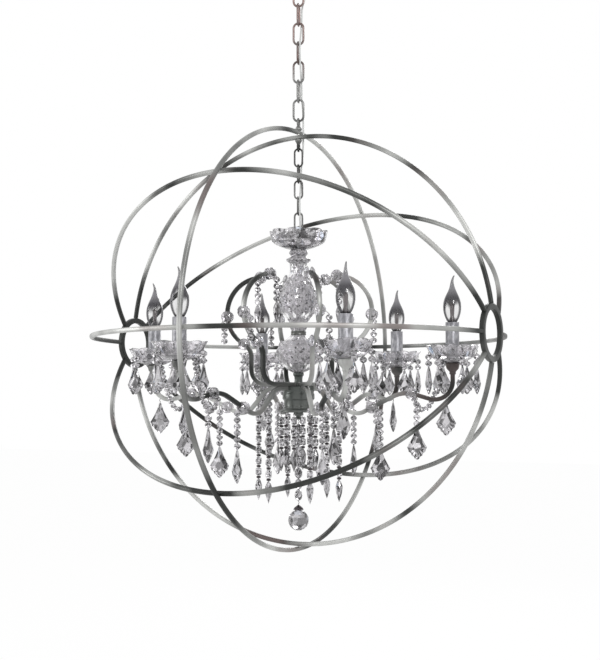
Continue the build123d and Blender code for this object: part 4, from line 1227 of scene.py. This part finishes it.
def wire_route():
    """The wire's points, with X and Y in the chain's own turned frame."""
    beside = radians(-CHAIN_TURN)
    past_bars = 7.0 * (cos(beside) - sin(beside)), 7.0 * (sin(beside) + cos(beside))
    route = [(16.5, 0, CANOPY_LOW + 8), (16.5, 0, CANOPY_LOW - 16),
             (12.0, 8.0, link_middle("chain_link_1") - 3)]
    for side, number in ((1, 2), (-1, 4), (1, 6)):
        middle = link_middle(f"chain_link_{number}")
        route += [(4.5, side * 10.0, middle + 14.0), (4.5, side * 10.0, middle - 14.0)]
    route += [(7.5, 10.5, HANGER_EYE + 22), (*past_bars, HANGER_EYE - 9),
              (*past_bars, LOWER_SEAT - 6), (7.0, 8.0, LOWER_EYE - 16)]
    for side, number in ((1, 2), (-1, 4)):
        middle = link_middle(f"inner_link_{number}")
        route += [(3.85, side * 8.0, middle + 11.0), (3.85, side * 8.0, middle - 11.0)]
    return route + [(5.5, -7.4, FLANGE_TOP + 16), (5.5, -7.4, FLANGE_TOP - 4)]


def smooth_line(points):
    """Points along the smooth spline that these points control."""
    curve = bpy.data.curves.new("wire_line", "CURVE")
    curve.dimensions = "3D"
    curve.resolution_u = 12
    spline = curve.splines.new("NURBS")
    spline.points.add(len(points) - 1)
    for point, place in zip(spline.points, points):
        point.co = (*place, 1)
    spline.order_u = 3
    spline.use_endpoint_u = True
    holder = bpy.data.objects.new("wire_line", curve)
    bpy.context.scene.collection.objects.link(holder)
    line = bpy.data.meshes.new_from_object(holder)
    bpy.data.objects.remove(holder)
    return [v.co.copy() for v in line.vertices]


def lamp_wire():
    """The wire in one length for each joint that it crosses."""
    line = [turned(CHAIN_TURN).to_3x3() @ p for p in smooth_line(wire_route())]
    bodies = ["root", "link_1", "middle_chain", "link_7", "cage", "inner_link", "fixture"]
    held = [("canopy_loop", EYE_WIRE), ("chain_link_1", LINK_SIZE[2]), ("chain_link_6", LINK_SIZE[2]),
            ("chain_link_7", LINK_SIZE[2]), ("hanger_bottom_loop", EYE_WIRE),
            ("inner_link_1", INNER_LINK_SIZE[2])]
    crowns = [ends(node)[0] + wire / 2 for node, wire in held]
    cuts = [0.0] + [(a + b) / 2 for a, b in zip(crowns, crowns[1:])] + [FLANGE_TOP - 10.0]
    cuts[4] = (HANGER_EYE + LOWER_SEAT) / 2
    for k, crown in enumerate(crowns):
        run = [i for i, p in enumerate(line) if cuts[k + 1] <= p.z <= cuts[k]]
        run = line[max(run[0] - 1, 0):run[-1] + 2]
        name = f"lamp_wire_{k + 1}"
        made = bpy.data.objects.new(name, rod(run, WIRE_RADIUS, 12).mesh(name, wire_jacket, 60))
        bpy.context.scene.collection.objects.link(made)
        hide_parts("lamp_wire")
        bodies[k + 1]
        (crown + BLEND_REACH) * MM
        (crown - BLEND_REACH) * MM
        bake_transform(made)


# ---- camera, floor and light -------------------------------------------------------------
def camera_at_photo():
    """The camera where the photograph's was, by its own frame of 600 by 660 pixels."""
    focal_pixels, frame_height, sensor = 1143.5, 660, 36
    tilt, turn = 3.52, 28.725
    camera = bpy.data.objects.new("camera", bpy.data.cameras.new("camera"))
    bpy.context.scene.collection.objects.link(camera)
    camera.data.lens = focal_pixels * sensor / frame_height
    camera.data.clip_end = 100
    camera.location = (1067.1 * MM, -1941.0 * MM, (ORB.z - 120.0) * MM)
    camera.rotation_euler = (radians(90 + tilt), 0, radians(turn))
    bpy.context.scene.camera = camera


def floor_paint():
    """Matt paint that the camera, gloss and glass see as white paper that still takes shadow."""
    paper = 0.96     # share of plain white; the rest is paint, which takes the shadow
    paint = Finish("white_floor", Roughness=0.9, Specular_IOR_Level=0.1)
    paint.set(Base_Color=(0.82, 0.82, 0.82, 1))
    white = paint.node("ShaderNodeEmission", None, {"Color": (1, 1, 1, 1), "Strength": 1.0})
    mixed = paint.node("ShaderNodeMixShader", None, {
        0: paint.looked_at() * paper, 1: Tone(paint, paint.shader.outputs[0]), 2: white})
    paint.join(mixed, paint.tree.nodes["Material Output"].inputs["Surface"])
    return paint.material


def studio_floor():
    """A plain pale floor, well below the chandelier."""
    half, low = 14, -1.75     # metres
    mesh = bpy.data.meshes.new("floor")
    mesh.from_pydata([(-half, -half, low), (half, -half, low), (half, half, low), (-half, half, low)],
                     [], [(0, 1, 2, 3)])
    mesh.materials.append(floor_paint())
    made = bpy.data.objects.new("floor", mesh)
    bpy.context.scene.collection.objects.link(made)


def studio_world():
    """Soft light that grows from below to above, seen as plain white."""
    world = bpy.data.worlds.new("studio")
    bpy.context.scene.world = world
    world.use_nodes = True
    light = ShaderNodes(world.node_tree)
    way = light.node("ShaderNodeTexCoord", out="Generated")
    rise = light.node("ShaderNodeSeparateXYZ", None, {0: way}, out="Z")
    sky = light.greys(rise * 0.5 + 0.5, (0.0, 0.28), (1.0, 0.95))
    background = light.tree.nodes["Background"]
    light.join(light.between(sky, (1, 1, 1), light.looked_at()), background.inputs["Color"])
    background.inputs["Strength"].default_value = 1.0


def soft_lamp(name, place, size, watts):
    """A large soft lamp at a place in metres, aimed at the orb's middle."""
    data = bpy.data.lights.new(name, "AREA")
    data.shape, data.size, data.energy = "DISK", size, watts
    lamp = bpy.data.objects.new(name, data)
    bpy.context.scene.collection.objects.link(lamp)
    lamp.location = place
    lamp.rotation_euler = (ORB * MM - Vector(place)).to_track_quat("-Z", "Y").to_euler()
    lamp.visible_camera = False


# ---- the whole chandelier ----------------------------------------------------------------
for build in (cage_hoop, cage_bars, end_rings, cage_rivets,
              chains, eye_loops, canopy_shell, inner_hardware,
              top_bowl, column_glasses, column_turnings, arms_and_scrolls,
              candle_cups, candle_dishes, candle_covers, bulbs,
              rosettes, dish_pendants, arm_pendants, scroll_pendants, bead_swags,
              long_strands, short_strands, centre_string, lamp_wire,
              camera_at_photo, studio_floor, studio_world):
    build()
soft_lamp("key", (2.6, -2.4, 0.9), 1.2, 60)
soft_lamp("fill", (-2.6, -1.6, -0.2), 1.6, 26)
soft_lamp("rim", (-0.6, 3.0, 0.6), 1.4, 30)

bpy.context.scene.view_settings.view_transform = "Standard"
